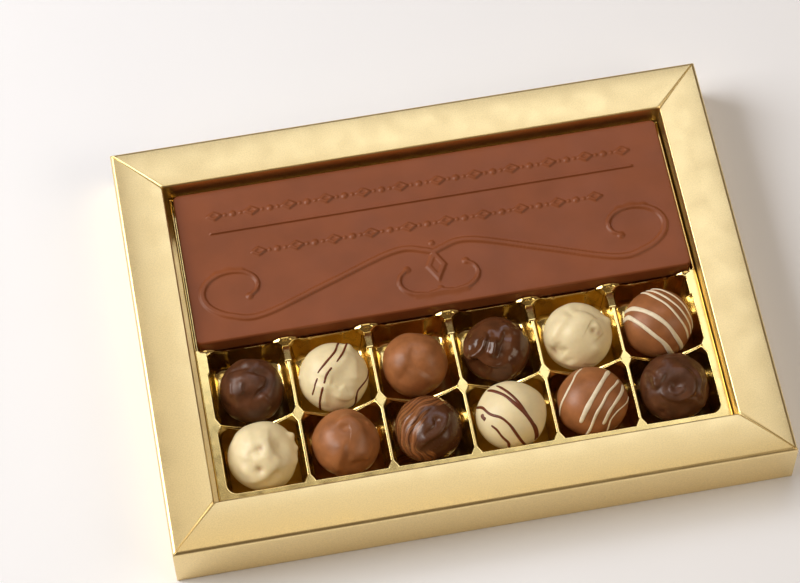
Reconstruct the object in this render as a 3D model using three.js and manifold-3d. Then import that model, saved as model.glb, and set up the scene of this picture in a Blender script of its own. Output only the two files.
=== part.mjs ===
// A window box of chocolates: a gold card frame box, open at its window, with a gold moulded tray
// that holds one flat milk chocolate bar and twelve pralines in two rows of six.
// Millimetres, +Z up. The origin is the middle of the box's underside, +X runs along its long side
// and -Y is the side nearest the viewer.
import * as THREE from 'three';
import { mergeVertices } from 'three/addons/utils/BufferGeometryUtils.js';
import Module from 'manifold-3d';

const wasm = await Module();
wasm.setup();

// Box: outer size, the four frame strips round the window, and the folds of the card.
const BOX_LENGTH = 245;
const BOX_DEPTH = 180.5;
const BOX_HEIGHT = 25.4;
const STRIP_X = 19.1;
const STRIP_Y = 19.4;
const BASE_CARD = 1.0;
const OUTER_FOLD = 1.6;
const INNER_FOLD = 0.8;
const STRIP_CROWN = 0.35;
const FOLD_STEPS = 4;
const SEAM_DEPTH = 0.5;
const SEAM_WIDE_IN = 0.9;
const SEAM_WIDE_OUT = 0.35;

// Every two pieces that rest on or beside each other stay this far apart.
const CLEARANCE = 0.3;

// Tray: the flange that shows round the cells, and a grid of cells whose walls are ridges.
const FLANGE_Z = 15.6;
const FLOOR_SKIN = 0.5;
const COLUMNS = 6;
const PITCH_X = 33.0;
const TRAY_SHIFT = 0.8;
const TRAY_LEFT = -101.6;
const TRAY_RIGHT = 103.0;
const TRAY_NEAR = -68.9;
const TRAY_FAR = 70.4;
const TRAY_CORNER = 3.0;
const ROW_RIDGE_Y = -34.9;
const NEAR_CELL_Y = -65.2;
const FAR_CELL_Y = -2.0;
const FAR_CORNER = 4.7;
const RIDGE_HALF = 0.4;
const SADDLE_HALF = 14.7;
const SADDLE_DEPTH = 8.2;
const SADDLE_CURVE = 1.3;
const SADDLE_STEPS = 12;
const NOTCH_NEAR_Y = -11.3;
const NOTCH_FAR_Y = -3.3;
const NOTCH_Z = 14.0;
const NOTCH_FOOT_Z = 13.2;
const STOP_FLAT = 1.9;
const STOP_HALF = 4.9;
const STOP_SHOULDER_Z = 14.0;
const SILL_FROM = 6.4;

// Bar: its size, the shelf it lies on, and the raised ornament on its top.
const BAR_LENGTH = 201.4;
const BAR_DEPTH = 69.2;
const BAR_THICK = 8.0;
const BAR_X = 0.6;
const BAR_Y = 34.4;
const BAR_TOP = 20.0;
const BAR_EDGE = 0.8;
const BAR_CORNER = 1.6;
const SHELF_Z = BAR_TOP - BAR_THICK - CLEARANCE;
const RELIEF = 0.6;
const RULE_Y = 48.7;
const RULE_HALF = 87.4;
const ROW_ONE_Y = 56.4;
const ROW_TWO_Y = 37.2;
const LOZENGE_PITCH = 15.4;
const SCROLL_Y = 17.7;
const SCROLL_FROM = 12;
const SCROLL_SPAN = 64;
const SCROLL_FLAT = 0.7;
const SCROLL_REACH = 2.0;
const SCROLL_STEPS = 12;
const SCROLL_WIDTH = 2.2;
const SUNK = 0.4;

// Pralines: middle height, reach above and below it, the rows, and the rounded part of the underside.
const PRALINE_Z = 12.5;
const REACH_UP = 12.0;
const CELL_FLOOR = BASE_CARD + CLEARANCE + FLOOR_SKIN;
const REACH_DOWN = PRALINE_Z - CELL_FLOOR - CLEARANCE;
const FAR_ROW_Y = -20.4;
const NEAR_ROW_Y = -49.6;
const FOOT_FACTOR = 1.25;
const STRIPE_STEPS = 5;
const STRIPE_RISE = 0.4;
const STRIPE_SUNK = 0.8;

// The side that the relief of each praline is described from: a viewer in front, a little left, high up.
const VIEWER = new THREE.Vector3(-106, -535, 1058);

// Finishes.
const finish = (color, roughness, metalness) => (
  new THREE.MeshStandardMaterial({ color, roughness, metalness }));
const goldCard = () => finish('#d9bf7a', 0.42, 0.75);
const goldFoil = () => finish('#e2c065', 0.16, 0.95);
const milkBar = () => finish('#8a5038', 0.45, 0);
const COATS = {
  dark: () => finish('#3f2414', 0.3, 0),
  milk: () => finish('#8c5432', 0.36, 0),
  white: () => finish('#ead6a4', 0.4, 0),
};

// A closed body from points and triangles, turned so that its faces point out.
function closedBody(points, faces) {
  let volume = 0;
  for (let k = 0; k < faces.length; k += 3) {
    const [a, b, c] = [points[faces[k]], points[faces[k + 1]], points[faces[k + 2]]];
    volume += a.dot(new THREE.Vector3().crossVectors(b, c));
  }
  const geometry = new THREE.BufferGeometry().setFromPoints(points);
  geometry.setIndex(volume < 0 ? faces.toReversed() : faces);
  return geometry;
}

// A body through rings of equally many points, closed by a fan at each end.
function loft(rings, firstTip = middleOf(rings[0]), lastTip = middleOf(rings.at(-1))) {
  const count = rings[0].length;
  const points = [...rings.flat(), firstTip, lastTip];
  const firstIndex = points.length - 2;
  const lastIndex = points.length - 1;
  const lastRing = (rings.length - 1) * count;
  const faces = [];
  for (let k = 0; k < count; k += 1) {
    const next = (k + 1) % count;
    for (let row = 0; row < lastRing; row += count) {
      faces.push(row + k, row + next, row + count + next);
      faces.push(row + k, row + count + next, row + count + k);
    }
    faces.push(firstIndex, next, k);
    faces.push(lastIndex, lastRing + k, lastRing + next);
  }
  return closedBody(points, faces);
}

function middleOf(ring) {
  const sum = ring.reduce((total, point) => total.add(point), new THREE.Vector3());
  return sum.divideScalar(ring.length);
}

// One ring of a rectangle with rounded corners at height z; the two far corners can differ.
function roundedRing(low, high, nearRadius, z, farRadius = nearRadius, steps = 3) {
  const corners = [[high.x, high.y, 0], [low.x, high.y, 1], [low.x, low.y, 2], [high.x, low.y, 3]];
  return corners.flatMap(([x, y, quarter]) => Array.from({ length: steps + 1 }, (_, k) => {
    const angle = (quarter + k / steps) * Math.PI / 2;
    const radius = y === high.y ? farRadius : nearRadius;
    const inX = x === high.x ? x - radius : x + radius;
    const inY = y === high.y ? y - radius : y + radius;
    return new THREE.Vector3(inX + radius * Math.cos(angle), inY + radius * Math.sin(angle), z);
  }));
}

function toSolid(geometry) {
  const bare = geometry.clone();
  bare.deleteAttribute('normal');
  bare.deleteAttribute('uv');
  const merged = mergeVertices(bare, 1e-4);
  return new wasm.Manifold(new wasm.Mesh({
    numProp: 3,
    vertProperties: Float32Array.from(merged.attributes.position.array),
    triVerts: Uint32Array.from(merged.index.array),
  }));
}

function toMesh(name, solid, material) {
  const cut = solid.getMesh();
  const geometry = new THREE.BufferGeometry();
  geometry.setAttribute('position', new THREE.BufferAttribute(cut.vertProperties, 3));
  geometry.setIndex(new THREE.BufferAttribute(cut.triVerts, 1));
  geometry.computeVertexNormals();
  const mesh = new THREE.Mesh(geometry, material);
  mesh.name = name;
  return mesh;
}

const boxBetween = (x0, x1, y0, y1, z0, z1) => toSolid(
  new THREE.BoxGeometry(x1 - x0, y1 - y0, z1 - z0).translate((x0 + x1) / 2, (y0 + y1) / 2, (z0 + z1) / 2),
);

// A raised strip along points on a surface: wide where it is sunk in, narrower on top, thin at both ends.
function raisedStrip(points, normals, width, height, sunk) {
  const rings = points.map((point, k) => {
    const before = points[Math.max(k - 1, 0)];
    const after = points[Math.min(k + 1, points.length - 1)];
    const along = new THREE.Vector3().subVectors(after, before).normalize();
    const side = new THREE.Vector3().crossVectors(along, normals[k]).normalize();
    const end = k === 0 || k === points.length - 1;
    const half = width / 2 * (end ? 0.5 : 1);
    const rise = height * (end ? 0.3 : 1);
    const at = (across, up) => (
      point.clone().addScaledVector(side, across * half).addScaledVector(normals[k], up));
    return [at(-1, -sunk), at(1, -sunk), at(0.6, rise), at(-0.6, rise)];
  });
  return toSolid(loft(rings));
}

// Carton: one cross-section of wall, folds, crowned strip and inner wall, taken round the four corners.
function cartonSection() {
  const arc = (inward, up, radius, from, to) => Array.from({ length: FOLD_STEPS + 1 }, (_, k) => {
    const angle = THREE.MathUtils.degToRad(from + (to - from) * k / FOLD_STEPS);
    return [inward + radius * Math.cos(angle), up + radius * Math.sin(angle)];
  });
  const edgeZ = BOX_HEIGHT - STRIP_CROWN;
  return [
    [0, 0],
    ...arc(OUTER_FOLD, edgeZ - OUTER_FOLD, OUTER_FOLD, 180, 90),
    [STRIP_X * 0.3, BOX_HEIGHT],
    [STRIP_X * 0.7, BOX_HEIGHT],
    ...arc(STRIP_X - INNER_FOLD, edgeZ - INNER_FOLD, INNER_FOLD, 90, 0),
    [STRIP_X, 0],
  ];
}

function mitredRing(section) {
  const cornerSigns = [[1, 1], [-1, 1], [-1, -1], [1, -1]];
  const rings = cornerSigns.map(([sx, sy]) => section.map(([inward, up]) => new THREE.Vector3(
    sx * (BOX_LENGTH / 2 - inward),
    sy * (BOX_DEPTH / 2 - inward * STRIP_Y / STRIP_X),
    up,
  )));
  const points = rings.flat();
  const count = section.length;
  const faces = [];
  for (let corner = 0; corner < 4; corner += 1) {
    const here = corner * count;
    const there = ((corner + 1) % 4) * count;
    for (let k = 0; k < count; k += 1) {
      const next = (k + 1) % count;
      faces.push(here + k, there + k, there + next);
      faces.push(here + k, there + next, here + next);
    }
  }
  return toSolid(closedBody(points, faces));
}

// The mitre seam at one corner: a narrow wedge cut in the strip from the outer to the inner corner.
function mitreSeam(sx, sy) {
  const outer = new THREE.Vector3(sx * BOX_LENGTH / 2, sy * BOX_DEPTH / 2, 0);
  const inner = new THREE.Vector3(sx * (BOX_LENGTH / 2 - STRIP_X), sy * (BOX_DEPTH / 2 - STRIP_Y), 0);
  const along = new THREE.Vector3().subVectors(inner, outer).normalize();
  const side = new THREE.Vector3(-along.y, along.x, 0);
  const section = (corner, past, wide) => {
    const at = (across, z) => (
      corner.clone().addScaledVector(along, past).addScaledVector(side, across).setZ(z));
    const top = BOX_HEIGHT + SEAM_DEPTH;
    return [at(0, BOX_HEIGHT - STRIP_CROWN - SEAM_DEPTH), at(wide, top), at(-wide, top)];
  };
  return toSolid(loft([section(outer, -1, SEAM_WIDE_OUT), section(inner, 1, SEAM_WIDE_IN)]));
}

function carton() {
  const wellX = BOX_LENGTH / 2 - STRIP_X;
  const wellY = BOX_DEPTH / 2 - STRIP_Y;
  const baseX = wellX + STRIP_X / 2;
  const baseY = wellY + STRIP_Y / 2;
  let solid = mitredRing(cartonSection());
  solid = solid.add(boxBetween(-baseX, baseX, -baseY, baseY, 0, BASE_CARD));
  for (const [sx, sy] of [[1, 1], [-1, 1], [-1, -1], [1, -1]]) {
    solid = solid.subtract(mitreSeam(sx, sy));
  }
  return solid;
}

// Tray: a block with a shelf for the bar and a rounded cell for each praline. Beside the bar, the far
// corners of two neighbouring cells leave a fan-shaped stop between them.
const ridgeX = (k) => TRAY_SHIFT + (k - COLUMNS / 2) * PITCH_X;
const columnX = (k) => (ridgeX(k) + ridgeX(k + 1)) / 2;

// One cell as the body that it removes: how far the wall stands in, its corner radius, and the height.
const CELL_LEVELS = [
  [3.4, 3.2, CELL_FLOOR],
  [2.2, 4.2, CELL_FLOOR + 0.9],
  [1.2, 4.8, 7.6],
  [0.45, 4.6, 13.2],
  [0.1, 3.6, 14.9],
  [-0.15, 2.6, FLANGE_Z + 0.05],
  [-0.15, 2.6, FLANGE_Z + 2],
];

function cell(low, high) {
  const besideBar = high.y === FAR_CELL_Y;
  const rings = CELL_LEVELS.map(([inset, radius, z]) => roundedRing(
    { x: low.x + inset, y: low.y + inset },
    { x: high.x - inset, y: high.y - inset },
    radius,
    z,
    besideBar ? Math.max(radius, FAR_CORNER) : radius,
  ));
  return toSolid(loft(rings));
}

// A flat outline, across and up, as a cutter that runs along Y from nearY to farY.
function cutterAlongY(outline, nearY, farY) {
  const shape = new THREE.Shape(outline.map(([x, z]) => new THREE.Vector2(x, z)));
  const cutter = new THREE.ExtrudeGeometry(shape, { depth: farY - nearY, bevelEnabled: false });
  return toSolid(cutter.rotateX(Math.PI / 2).translate(0, farY, 0));
}

// The wall between a far cell and the bar is cut down to a sill between two stops with sloping shoulders.
const POCKET_NEAR_Y = BAR_Y - BAR_DEPTH / 2 - CLEARANCE;

function sill(k) {
  const [left, right] = [ridgeX(k), ridgeX(k + 1)];
  const open = FLANGE_Z + 2;
  return cutterAlongY([
    [left + SILL_FROM, SHELF_Z],
    [right - SILL_FROM, SHELF_Z],
    [right - STOP_HALF, STOP_SHOULDER_Z],
    [right - STOP_FLAT, FLANGE_Z],
    [right - STOP_FLAT, open],
    [left + STOP_FLAT, open],
    [left + STOP_FLAT, FLANGE_Z],
    [left + STOP_HALF, STOP_SHOULDER_Z],
  ], FAR_CELL_Y - 3, POCKET_NEAR_Y + 1);
}

// Where a column ridge nears the bar it is lower, and it rises to the stop by a steep slant.
function notch(x) {
  const half = 4;
  const open = FLANGE_Z + 2;
  const outline = [
    [NOTCH_NEAR_Y, NOTCH_Z],
    [NOTCH_FAR_Y, NOTCH_FOOT_Z],
    [FAR_CELL_Y, FLANGE_Z],
    [FAR_CELL_Y, open],
    [NOTCH_NEAR_Y, open],
  ];
  const shape = new THREE.Shape(outline.map(([y, z]) => new THREE.Vector2(y, z)));
  const cutter = new THREE.ExtrudeGeometry(shape, { depth: 2 * half, bevelEnabled: false });
  return toSolid(cutter.rotateX(Math.PI / 2).rotateZ(Math.PI / 2).translate(x - half, 0, 0));
}

// The dip of a row ridge between two crossings: nearly straight at its ends and deepest in the middle.
function saddle(x) {
  const half = 2.5;
  const dip = Array.from({ length: SADDLE_STEPS + 1 }, (_, k) => {
    const part = 2 * k / SADDLE_STEPS - 1;
    return [x + part * SADDLE_HALF, FLANGE_Z - SADDLE_DEPTH * (1 - Math.abs(part) ** SADDLE_CURVE)];
  });
  const open = [[x + SADDLE_HALF, FLANGE_Z + 2], [x - SADDLE_HALF, FLANGE_Z + 2]];
  return cutterAlongY([...dip, ...open], ROW_RIDGE_Y - half, ROW_RIDGE_Y + half);
}

function tray() {
  const low = { x: TRAY_LEFT, y: TRAY_NEAR };
  const high = { x: TRAY_RIGHT, y: TRAY_FAR };
  const block = toSolid(loft([
    roundedRing(low, high, TRAY_CORNER, BASE_CARD + CLEARANCE),
    roundedRing(low, high, TRAY_CORNER, FLANGE_Z - 0.4),
    roundedRing(
      { x: low.x + 0.4, y: low.y + 0.4 },
      { x: high.x - 0.4, y: high.y - 0.4 },
      TRAY_CORNER,
      FLANGE_Z,
    ),
  ]));
  const barLow = { x: BAR_X - BAR_LENGTH / 2 - CLEARANCE, y: POCKET_NEAR_Y };
  const barHigh = { x: BAR_X + BAR_LENGTH / 2 + CLEARANCE, y: BAR_Y + BAR_DEPTH / 2 + CLEARANCE };
  const cut = [toSolid(loft([
    roundedRing(barLow, barHigh, BAR_CORNER, SHELF_Z),
    roundedRing(barLow, barHigh, BAR_CORNER, FLANGE_Z + 2),
  ]))];
  for (let k = 1; k < COLUMNS; k += 1) {
    cut.push(notch(ridgeX(k)));
  }
  let solid = wasm.Manifold.difference([block, ...cut]);
  const rows = [[ROW_RIDGE_Y + RIDGE_HALF, FAR_CELL_Y], [NEAR_CELL_Y, ROW_RIDGE_Y - RIDGE_HALF]];
  for (let k = 0; k < COLUMNS; k += 1) {
    for (const [nearY, farY] of rows) {
      const left = ridgeX(k) + RIDGE_HALF;
      const right = ridgeX(k + 1) - RIDGE_HALF;
      solid = solid.subtract(cell({ x: left, y: nearY }, { x: right, y: farY }));
    }
    solid = solid.subtract(saddle(columnX(k))).subtract(sill(k));
  }
  return solid;
}

// Bar: bevelled top edge, one plain rule, two rows of lozenges and a mirrored pair of scrolls.
const UP = new THREE.Vector3(0, 0, 1);

// An S-shaped double curl from (0, 0) to (1, 0): its turning tightens evenly from the middle to both ends,
// and every step turns by the same angle.
function doubleCurl(reach, halfSteps) {
  const station = (k) => Math.sign(k) * reach * Math.sqrt(Math.abs(k) / halfSteps);
  const points = [new THREE.Vector3()];
  for (let k = -halfSteps; k < halfSteps; k += 1) {
    const step = station(k + 1) - station(k);
    const heading = Math.PI / 2 * ((station(k + 1) + station(k)) / 2) ** 2;
    const move = new THREE.Vector3(Math.cos(heading), Math.sin(heading), 0);
    points.push(points.at(-1).clone().addScaledVector(move, step));
  }
  const span = points.at(-1).length();
  const turn = -Math.atan2(points.at(-1).y, points.at(-1).x);
  return points.map((point) => point.applyAxisAngle(UP, turn).divideScalar(span));
}

function scroll(side) {
  const placed = doubleCurl(SCROLL_REACH, SCROLL_STEPS).map(({ x, y }) => new THREE.Vector3(
    side * (SCROLL_FROM + SCROLL_SPAN * x),
    SCROLL_Y + SCROLL_SPAN * SCROLL_FLAT * y,
    BAR_TOP,
  ));
  return raisedStrip(placed, placed.map(() => UP), SCROLL_WIDTH, RELIEF, SUNK);
}

function lozenge(x, y, halfX, halfY) {
  const pyramid = new THREE.CylinderGeometry(0.45, 1, RELIEF + SUNK, 4).rotateX(Math.PI / 2);
  return toSolid(pyramid.scale(halfX, halfY, 1).translate(x, y, BAR_TOP + (RELIEF - SUNK) / 2));
}

function chocolateBar() {
  const half = { x: BAR_LENGTH / 2, y: BAR_DEPTH / 2 };
  const ring = (inset, z) => roundedRing(
    { x: BAR_X - half.x + inset, y: BAR_Y - half.y + inset },
    { x: BAR_X + half.x - inset, y: BAR_Y + half.y - inset },
    BAR_CORNER,
    z,
  );
  const body = toSolid(loft([
    ring(0, BAR_TOP - BAR_THICK),
    ring(0.1, BAR_TOP - BAR_EDGE),
    ring(BAR_EDGE, BAR_TOP),
  ]));
  const raised = [
    boxBetween(-RULE_HALF, RULE_HALF, RULE_Y - 0.6, RULE_Y + 0.6, BAR_TOP - SUNK, BAR_TOP + RELIEF),
    lozenge(0, SCROLL_Y, 4.5, 8),
  ];
  for (const [y, count] of [[ROW_ONE_Y, 12], [ROW_TWO_Y, 10]]) {
    for (let k = 0; k < count; k += 1) {
      raised.push(lozenge((k - (count - 1) / 2) * LOZENGE_PITCH, y, 3.6, 2.3));
    }
  }
  return wasm.Manifold.union([body, ...raised, scroll(1), scroll(-1)]);
}

// Pralines: a place on one is given as the fraction of its radius to the right of and above its middle,
// as the viewer sees it, and its relief is the sum of folds (along a curve) and lumps (round a place).
function seenFrom(middle) {
  const towards = new THREE.Vector3().subVectors(VIEWER, middle).normalize();
  const right = new THREE.Vector3().crossVectors(UP, towards).normalize();
  const above = new THREE.Vector3().crossVectors(towards, right);
  return ([a, b]) => {
    const depth = Math.sqrt(Math.max(1 - a * a - b * b, 0));
    const place = new THREE.Vector3().addScaledVector(right, a).addScaledVector(above, b);
    return place.addScaledVector(towards, depth).normalize();
  };
}

const curveOn = (place, along, count) => new THREE.CatmullRomCurve3(along.map(place))
  .getPoints(count).map((point) => point.normalize());

function reliefOf(spec, place, radius) {
  const folds = (spec.folds ?? []).map(([height, width, along]) => (
    { height, width, points: curveOn(place, along, along.length * 5) }));
  const lumps = (spec.lumps ?? []).map(([height, width, at]) => ({ height, width, points: [place(at)] }));
  return (direction) => [...folds, ...lumps].reduce((sum, { height, width, points }) => {
    const nearest = Math.min(...points.map((point) => point.distanceTo(direction))) * radius;
    return sum + height * Math.exp(-((nearest / width) ** 2));
  }, 0);
}

function praline(spec, middle) {
  const place = seenFrom(middle);
  const relief = reliefOf(spec, place, spec.radius);
  const pointAt = (direction) => {
    const reach = spec.radius + relief(direction);
    const flat = Math.max(direction.z * FOOT_FACTOR, -1);
    const up = direction.z > 0 ? direction.z * reach * REACH_UP / spec.radius : flat * REACH_DOWN;
    return new THREE.Vector3(direction.x * reach, direction.y * reach, up).add(middle);
  };
  const directionAt = (polar, turn) => new THREE.Vector3().setFromSphericalCoords(1, polar, turn)
    .applyAxisAngle(new THREE.Vector3(1, 0, 0), Math.PI / 2);
  const [around, bands] = spec.folds ? [24, 12] : [20, 11];
  const rings = Array.from({ length: bands - 1 }, (_, row) => Array.from({ length: around }, (__, k) => (
    pointAt(directionAt(Math.PI * (row + 1) / bands, 2 * Math.PI * k / around)))));
  let solid = toSolid(loft(rings, pointAt(directionAt(0, 0)), pointAt(directionAt(Math.PI, 0))));
  for (const [width, along] of spec.stripes ?? []) {
    const directions = curveOn(place, along, STRIPE_STEPS);
    solid = solid.add(raisedStrip(directions.map(pointAt), directions, width, STRIPE_RISE, STRIPE_SUNK));
  }
  return solid;
}

// Folds are [height, width, curve], lumps are [height, width, place] and stripes are [width, curve].
const PRALINES = [
  { coat: 'dark', radius: 12.8, folds: [
    [-1.0, 1.4, [[-0.16, 0.63], [0.2, 0.55], [0.5, 0.4], [0.43, 0.08], [0.2, -0.08], [-0.08, -0.39]]],
    [0.7, 1.5, [[-0.27, 0.82], [0.12, 0.88], [0.43, 0.7]]],
  ], lumps: [[0.8, 6.5, [-0.2, 0.27]], [-1.2, 3.5, [-0.8, -0.45]], [0.6, 3, [0.7, 0.3]],
    [0.6, 4, [0, -0.65]]] },
  { coat: 'white', radius: 13.9, folds: [
    [0.5, 1.8, [[0.47, 0.82], [0.28, 0.46], [-0.11, 0.21], [-0.25, -0.04]]],
    [0.5, 1.5, [[0.6, 0.67], [0.63, 0.21], [0.6, -0.21]]],
    [0.7, 1.5, [[-0.07, -0.35], [0.18, -0.56], [0.46, -0.58], [0.6, -0.35]]],
    [0.6, 1.7, [[-0.25, -0.07], [-0.3, -0.42], [-0.23, -0.85]]],
  ], lumps: [[1.6, 2.2, [0.46, 0.84]], [-0.9, 4.5, [0.28, 0.05]]], stripes: [
    [0.8, [[0.17, 0.95], [0.07, 0.74], [-0.19, 0.46], [-0.44, 0.18]]],
    [0.8, [[-0.46, 0.05], [-0.56, -0.25], [-0.66, -0.53]]],
    [0.8, [[0.4, 0.89], [0.29, 0.69], [0.11, 0.46]]],
    [0.8, [[-0.03, 0.33], [-0.2, 0.11], [-0.32, -0.2], [-0.42, -0.53], [-0.46, -0.84]]],
    [0.8, [[0.95, -0.04], [0.79, -0.25], [0.63, -0.49], [0.57, -0.78]]],
  ] },
  { coat: 'milk', radius: 13.1, folds: [
    [-0.8, 2.0, [[0.19, 0.73], [-0.06, 0.46], [-0.08, 0.19], [0.08, -0.08], [0.42, -0.31], [0.69, -0.46]]],
    [-0.5, 2.0, [[-0.08, 0.08], [-0.31, -0.31], [-0.5, -0.57]]],
  ], lumps: [[0.5, 6, [-0.53, 0.23]], [0.6, 5.5, [0.46, 0.34]], [0.4, 5, [0, -0.61]],
    [-0.8, 3, [0.5, -0.8]]] },
  { coat: 'dark', radius: 13.4, folds: [
    [0.8, 1.3, [[-0.9, 0.37], [-0.92, 0.04], [-0.84, -0.37]]],
    [0.9, 1.2, [[-0.7, 0.48], [-0.77, 0.15], [-0.63, -0.15], [-0.4, 0.04], [-0.31, 0.37], [-0.48, 0.55]]],
    [0.9, 1.6, [[-0.04, 0.44], [-0.07, 0.07], [-0.15, -0.22]]],
    [-0.9, 1.3, [[0.26, 0.7], [0.18, 0.22], [0.04, -0.26]]],
    [1.0, 1.2, [[-0.86, -0.44], [-0.72, -0.27], [-0.51, -0.2], [-0.33, -0.35], [0, -0.44], [0.4, -0.42]]],
    [0.7, 1.3, [[0.07, 0.88], [0.4, 0.66], [0.81, 0.51]]],
  ], lumps: [[-1.6, 4.2, [-0.44, -0.58]], [-0.9, 4, [0.04, -0.77]], [0.5, 4, [0.6, 0]]] },
  { coat: 'white', radius: 13.7, folds: [
    [0.9, 1.4, [[-0.22, 0.61], [-0.5, 0.36], [-0.68, -0.04], [-0.79, -0.4]]],
    [-0.7, 1.6, [[-0.29, 0.76], [0.04, 0.86], [0.4, 0.76], [0.61, 0.54]]],
    [0.8, 1.4, [[0.4, 0.54], [0.61, 0.29], [0.74, 0.09]]],
    [-0.7, 1.5, [[-0.58, -0.29], [-0.36, -0.65], [-0.07, -0.86]]],
  ], lumps: [[1.3, 2.2, [0.78, 0.56]], [-1.0, 1.8, [0.47, 0.27]], [0.7, 5.5, [0, 0.25]],
    [-1.0, 2.6, [-0.68, -0.5]]] },
  { coat: 'milk', radius: 13.9, stripes: [
    [1.6, [[-0.92, 0.24], [-0.75, 0.34], [-0.43, 0.34], [-0.07, 0.23], [0.29, 0.02], [0.57, -0.27],
      [0.77, -0.59]]],
    [1.6, [[-0.95, -0.04], [-0.82, 0.06], [-0.5, -0.05], [-0.07, -0.3], [0.29, -0.54], [0.5, -0.8]]],
    [1.0, [[-0.45, 0.84], [-0.21, 0.8], [0.18, 0.61], [0.54, 0.3], [0.86, -0.11]]],
    [1.0, [[-0.25, 0.92], [0.04, 0.86], [0.36, 0.68], [0.71, 0.38], [0.92, 0.07]]],
    [1.0, [[-0.08, 0.98], [0.2, 0.93], [0.47, 0.8], [0.78, 0.5], [0.94, 0.24]]],
  ] },
  { coat: 'white', radius: 13.9, folds: [
    [0.8, 1.6, [[0.21, 0.81], [0.18, 0.32], [0.35, -0.07], [0.7, -0.28]]],
    [0.7, 1.6, [[-0.6, -0.04], [-0.25, 0], [0.07, -0.07], [0.28, -0.35]]],
    [0.6, 1.5, [[-0.35, -0.7], [0.04, -0.46], [0.28, -0.39]]],
    [0.5, 1.7, [[-0.77, 0.42], [-0.42, 0.46], [-0.07, 0.53]]],
  ], lumps: [[1.5, 1.8, [0.84, 0.5]], [-0.9, 4, [0.49, 0.25]], [-0.9, 1.9, [-0.04, 0.28]],
    [-1.2, 1.9, [-0.14, -0.33]], [0.6, 2.2, [0.86, -0.28]]] },
  { coat: 'milk', radius: 13.3, folds: [
    [0.8, 1.7, [[-0.15, 0.44], [-0.11, 0.63], [0.11, 0.74], [0.37, 0.56], [0.52, 0.22], [0.75, -0.25]]],
    [0.9, 1.6, [[-0.09, 0.19], [-0.13, -0.19], [-0.26, -0.59], [-0.3, -0.92]]],
    [0.6, 1.5, [[0, -0.44], [0.37, -0.46], [0.74, -0.41]]],
  ], lumps: [[-0.8, 2, [-0.04, 0.48]], [-1.5, 4.2, [0.3, -0.68]], [0.4, 4, [-0.48, 0.3]]] },
  { coat: 'dark', radius: 13.3, folds: [
    [0.6, 1.3, [[0.26, 0.89], [-0.26, 0.63], [-0.7, 0.15], [-0.74, -0.37], [-0.6, -0.74]]],
    [-0.6, 1.3, [[0.37, 0.78], [-0.07, 0.48], [-0.44, 0.07], [-0.52, -0.37], [-0.44, -0.74]]],
    [0.8, 1.4, [[0.44, 0.7], [0.52, 0.33], [0.3, -0.07], [-0.07, -0.33], [-0.37, -0.67]]],
  ], lumps: [[0.5, 3, [0.6, -0.3]], [-0.6, 2, [0.2, 0.3]]] },
  { coat: 'white', radius: 14.0, lumps: [[-0.5, 3, [-0.8, 0.45]]], stripes: [
    [1.0, [[-0.28, 0.78], [0.03, 0.56], [0.28, 0.28], [0.52, -0.02], [0.72, -0.28], [0.78, -0.45]]],
    [1.2, [[-0.54, 0.69], [-0.21, 0.59], [0.07, 0.38], [0.38, 0.12], [0.62, -0.17], [0.73, -0.5]]],
    [1.2, [[-0.95, 0.17], [-0.8, 0.18], [-0.56, 0.03], [-0.26, -0.04], [-0.03, -0.21], [0.14, -0.42],
      [0.4, -0.76]]],
    [1.2, [[-0.52, -0.28], [-0.36, -0.4], [-0.21, -0.59], [-0.03, -0.76], [0, -0.87]]],
    [1.6, [[-0.94, -0.03], [-0.82, -0.09], [-0.74, -0.15]]],
  ] },
  { coat: 'milk', radius: 14.0, stripes: [
    [1.2, [[-0.54, 0.76], [-0.64, 0.49], [-0.78, 0.1], [-0.87, -0.28]]],
    [1.7, [[0.32, 0.87], [0.17, 0.56], [-0.03, 0.1], [-0.17, -0.28], [-0.27, -0.63]]],
    [1.1, [[0.62, 0.62], [0.42, 0.35], [0.28, 0], [0.14, -0.35], [0, -0.83]]],
    [1.5, [[0.8, 0.42], [0.66, 0.1], [0.52, -0.21], [0.38, -0.63]]],
    [0.9, [[0.95, 0.1], [0.76, -0.14], [0.59, -0.45], [0.49, -0.78]]],
  ] },
  { coat: 'dark', radius: 13.8, folds: [
    [0.9, 1.5, [[-0.25, 0.5], [0.11, 0.64], [0.46, 0.43], [0.54, 0], [0.21, -0.29], [-0.25, -0.21],
      [-0.36, 0.07]]],
    [0.6, 1.4, [[-0.35, 0.6], [-0.55, 0.3], [-0.5, -0.1]]],
  ], lumps: [[-1.8, 3.4, [0.05, 0.09]], [1.0, 1.8, [-0.39, 0.75]], [0.8, 2.2, [0.57, 0.61]],
    [0.8, 2, [0.84, 0.34]], [0.9, 2.5, [0.86, -0.29]], [-0.8, 3, [-0.2, -0.75]]] },
];

const group = new THREE.Group();
group.add(toMesh('frame_carton', carton(), goldCard()));
group.add(toMesh('moulded_tray', tray(), goldFoil()));
group.add(toMesh('chocolate_bar', chocolateBar(), milkBar()));
PRALINES.forEach((spec, index) => {
  const rowY = index < COLUMNS ? FAR_ROW_Y : NEAR_ROW_Y;
  const middle = new THREE.Vector3(columnX(index % COLUMNS), rowY, PRALINE_Z);
  const name = `praline_${String(index + 1).padStart(2, '0')}`;
  group.add(toMesh(name, praline(spec, middle), COATS[spec.coat]()));
});

export default group;
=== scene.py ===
"""A gold window box of pralines: finished surfaces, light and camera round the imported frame."""
import math
from types import SimpleNamespace

import bmesh
import bpy
import numpy as np
from bpy.props import FloatProperty, FloatVectorProperty, IntProperty, PointerProperty
from mathutils import Matrix, Vector


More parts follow.
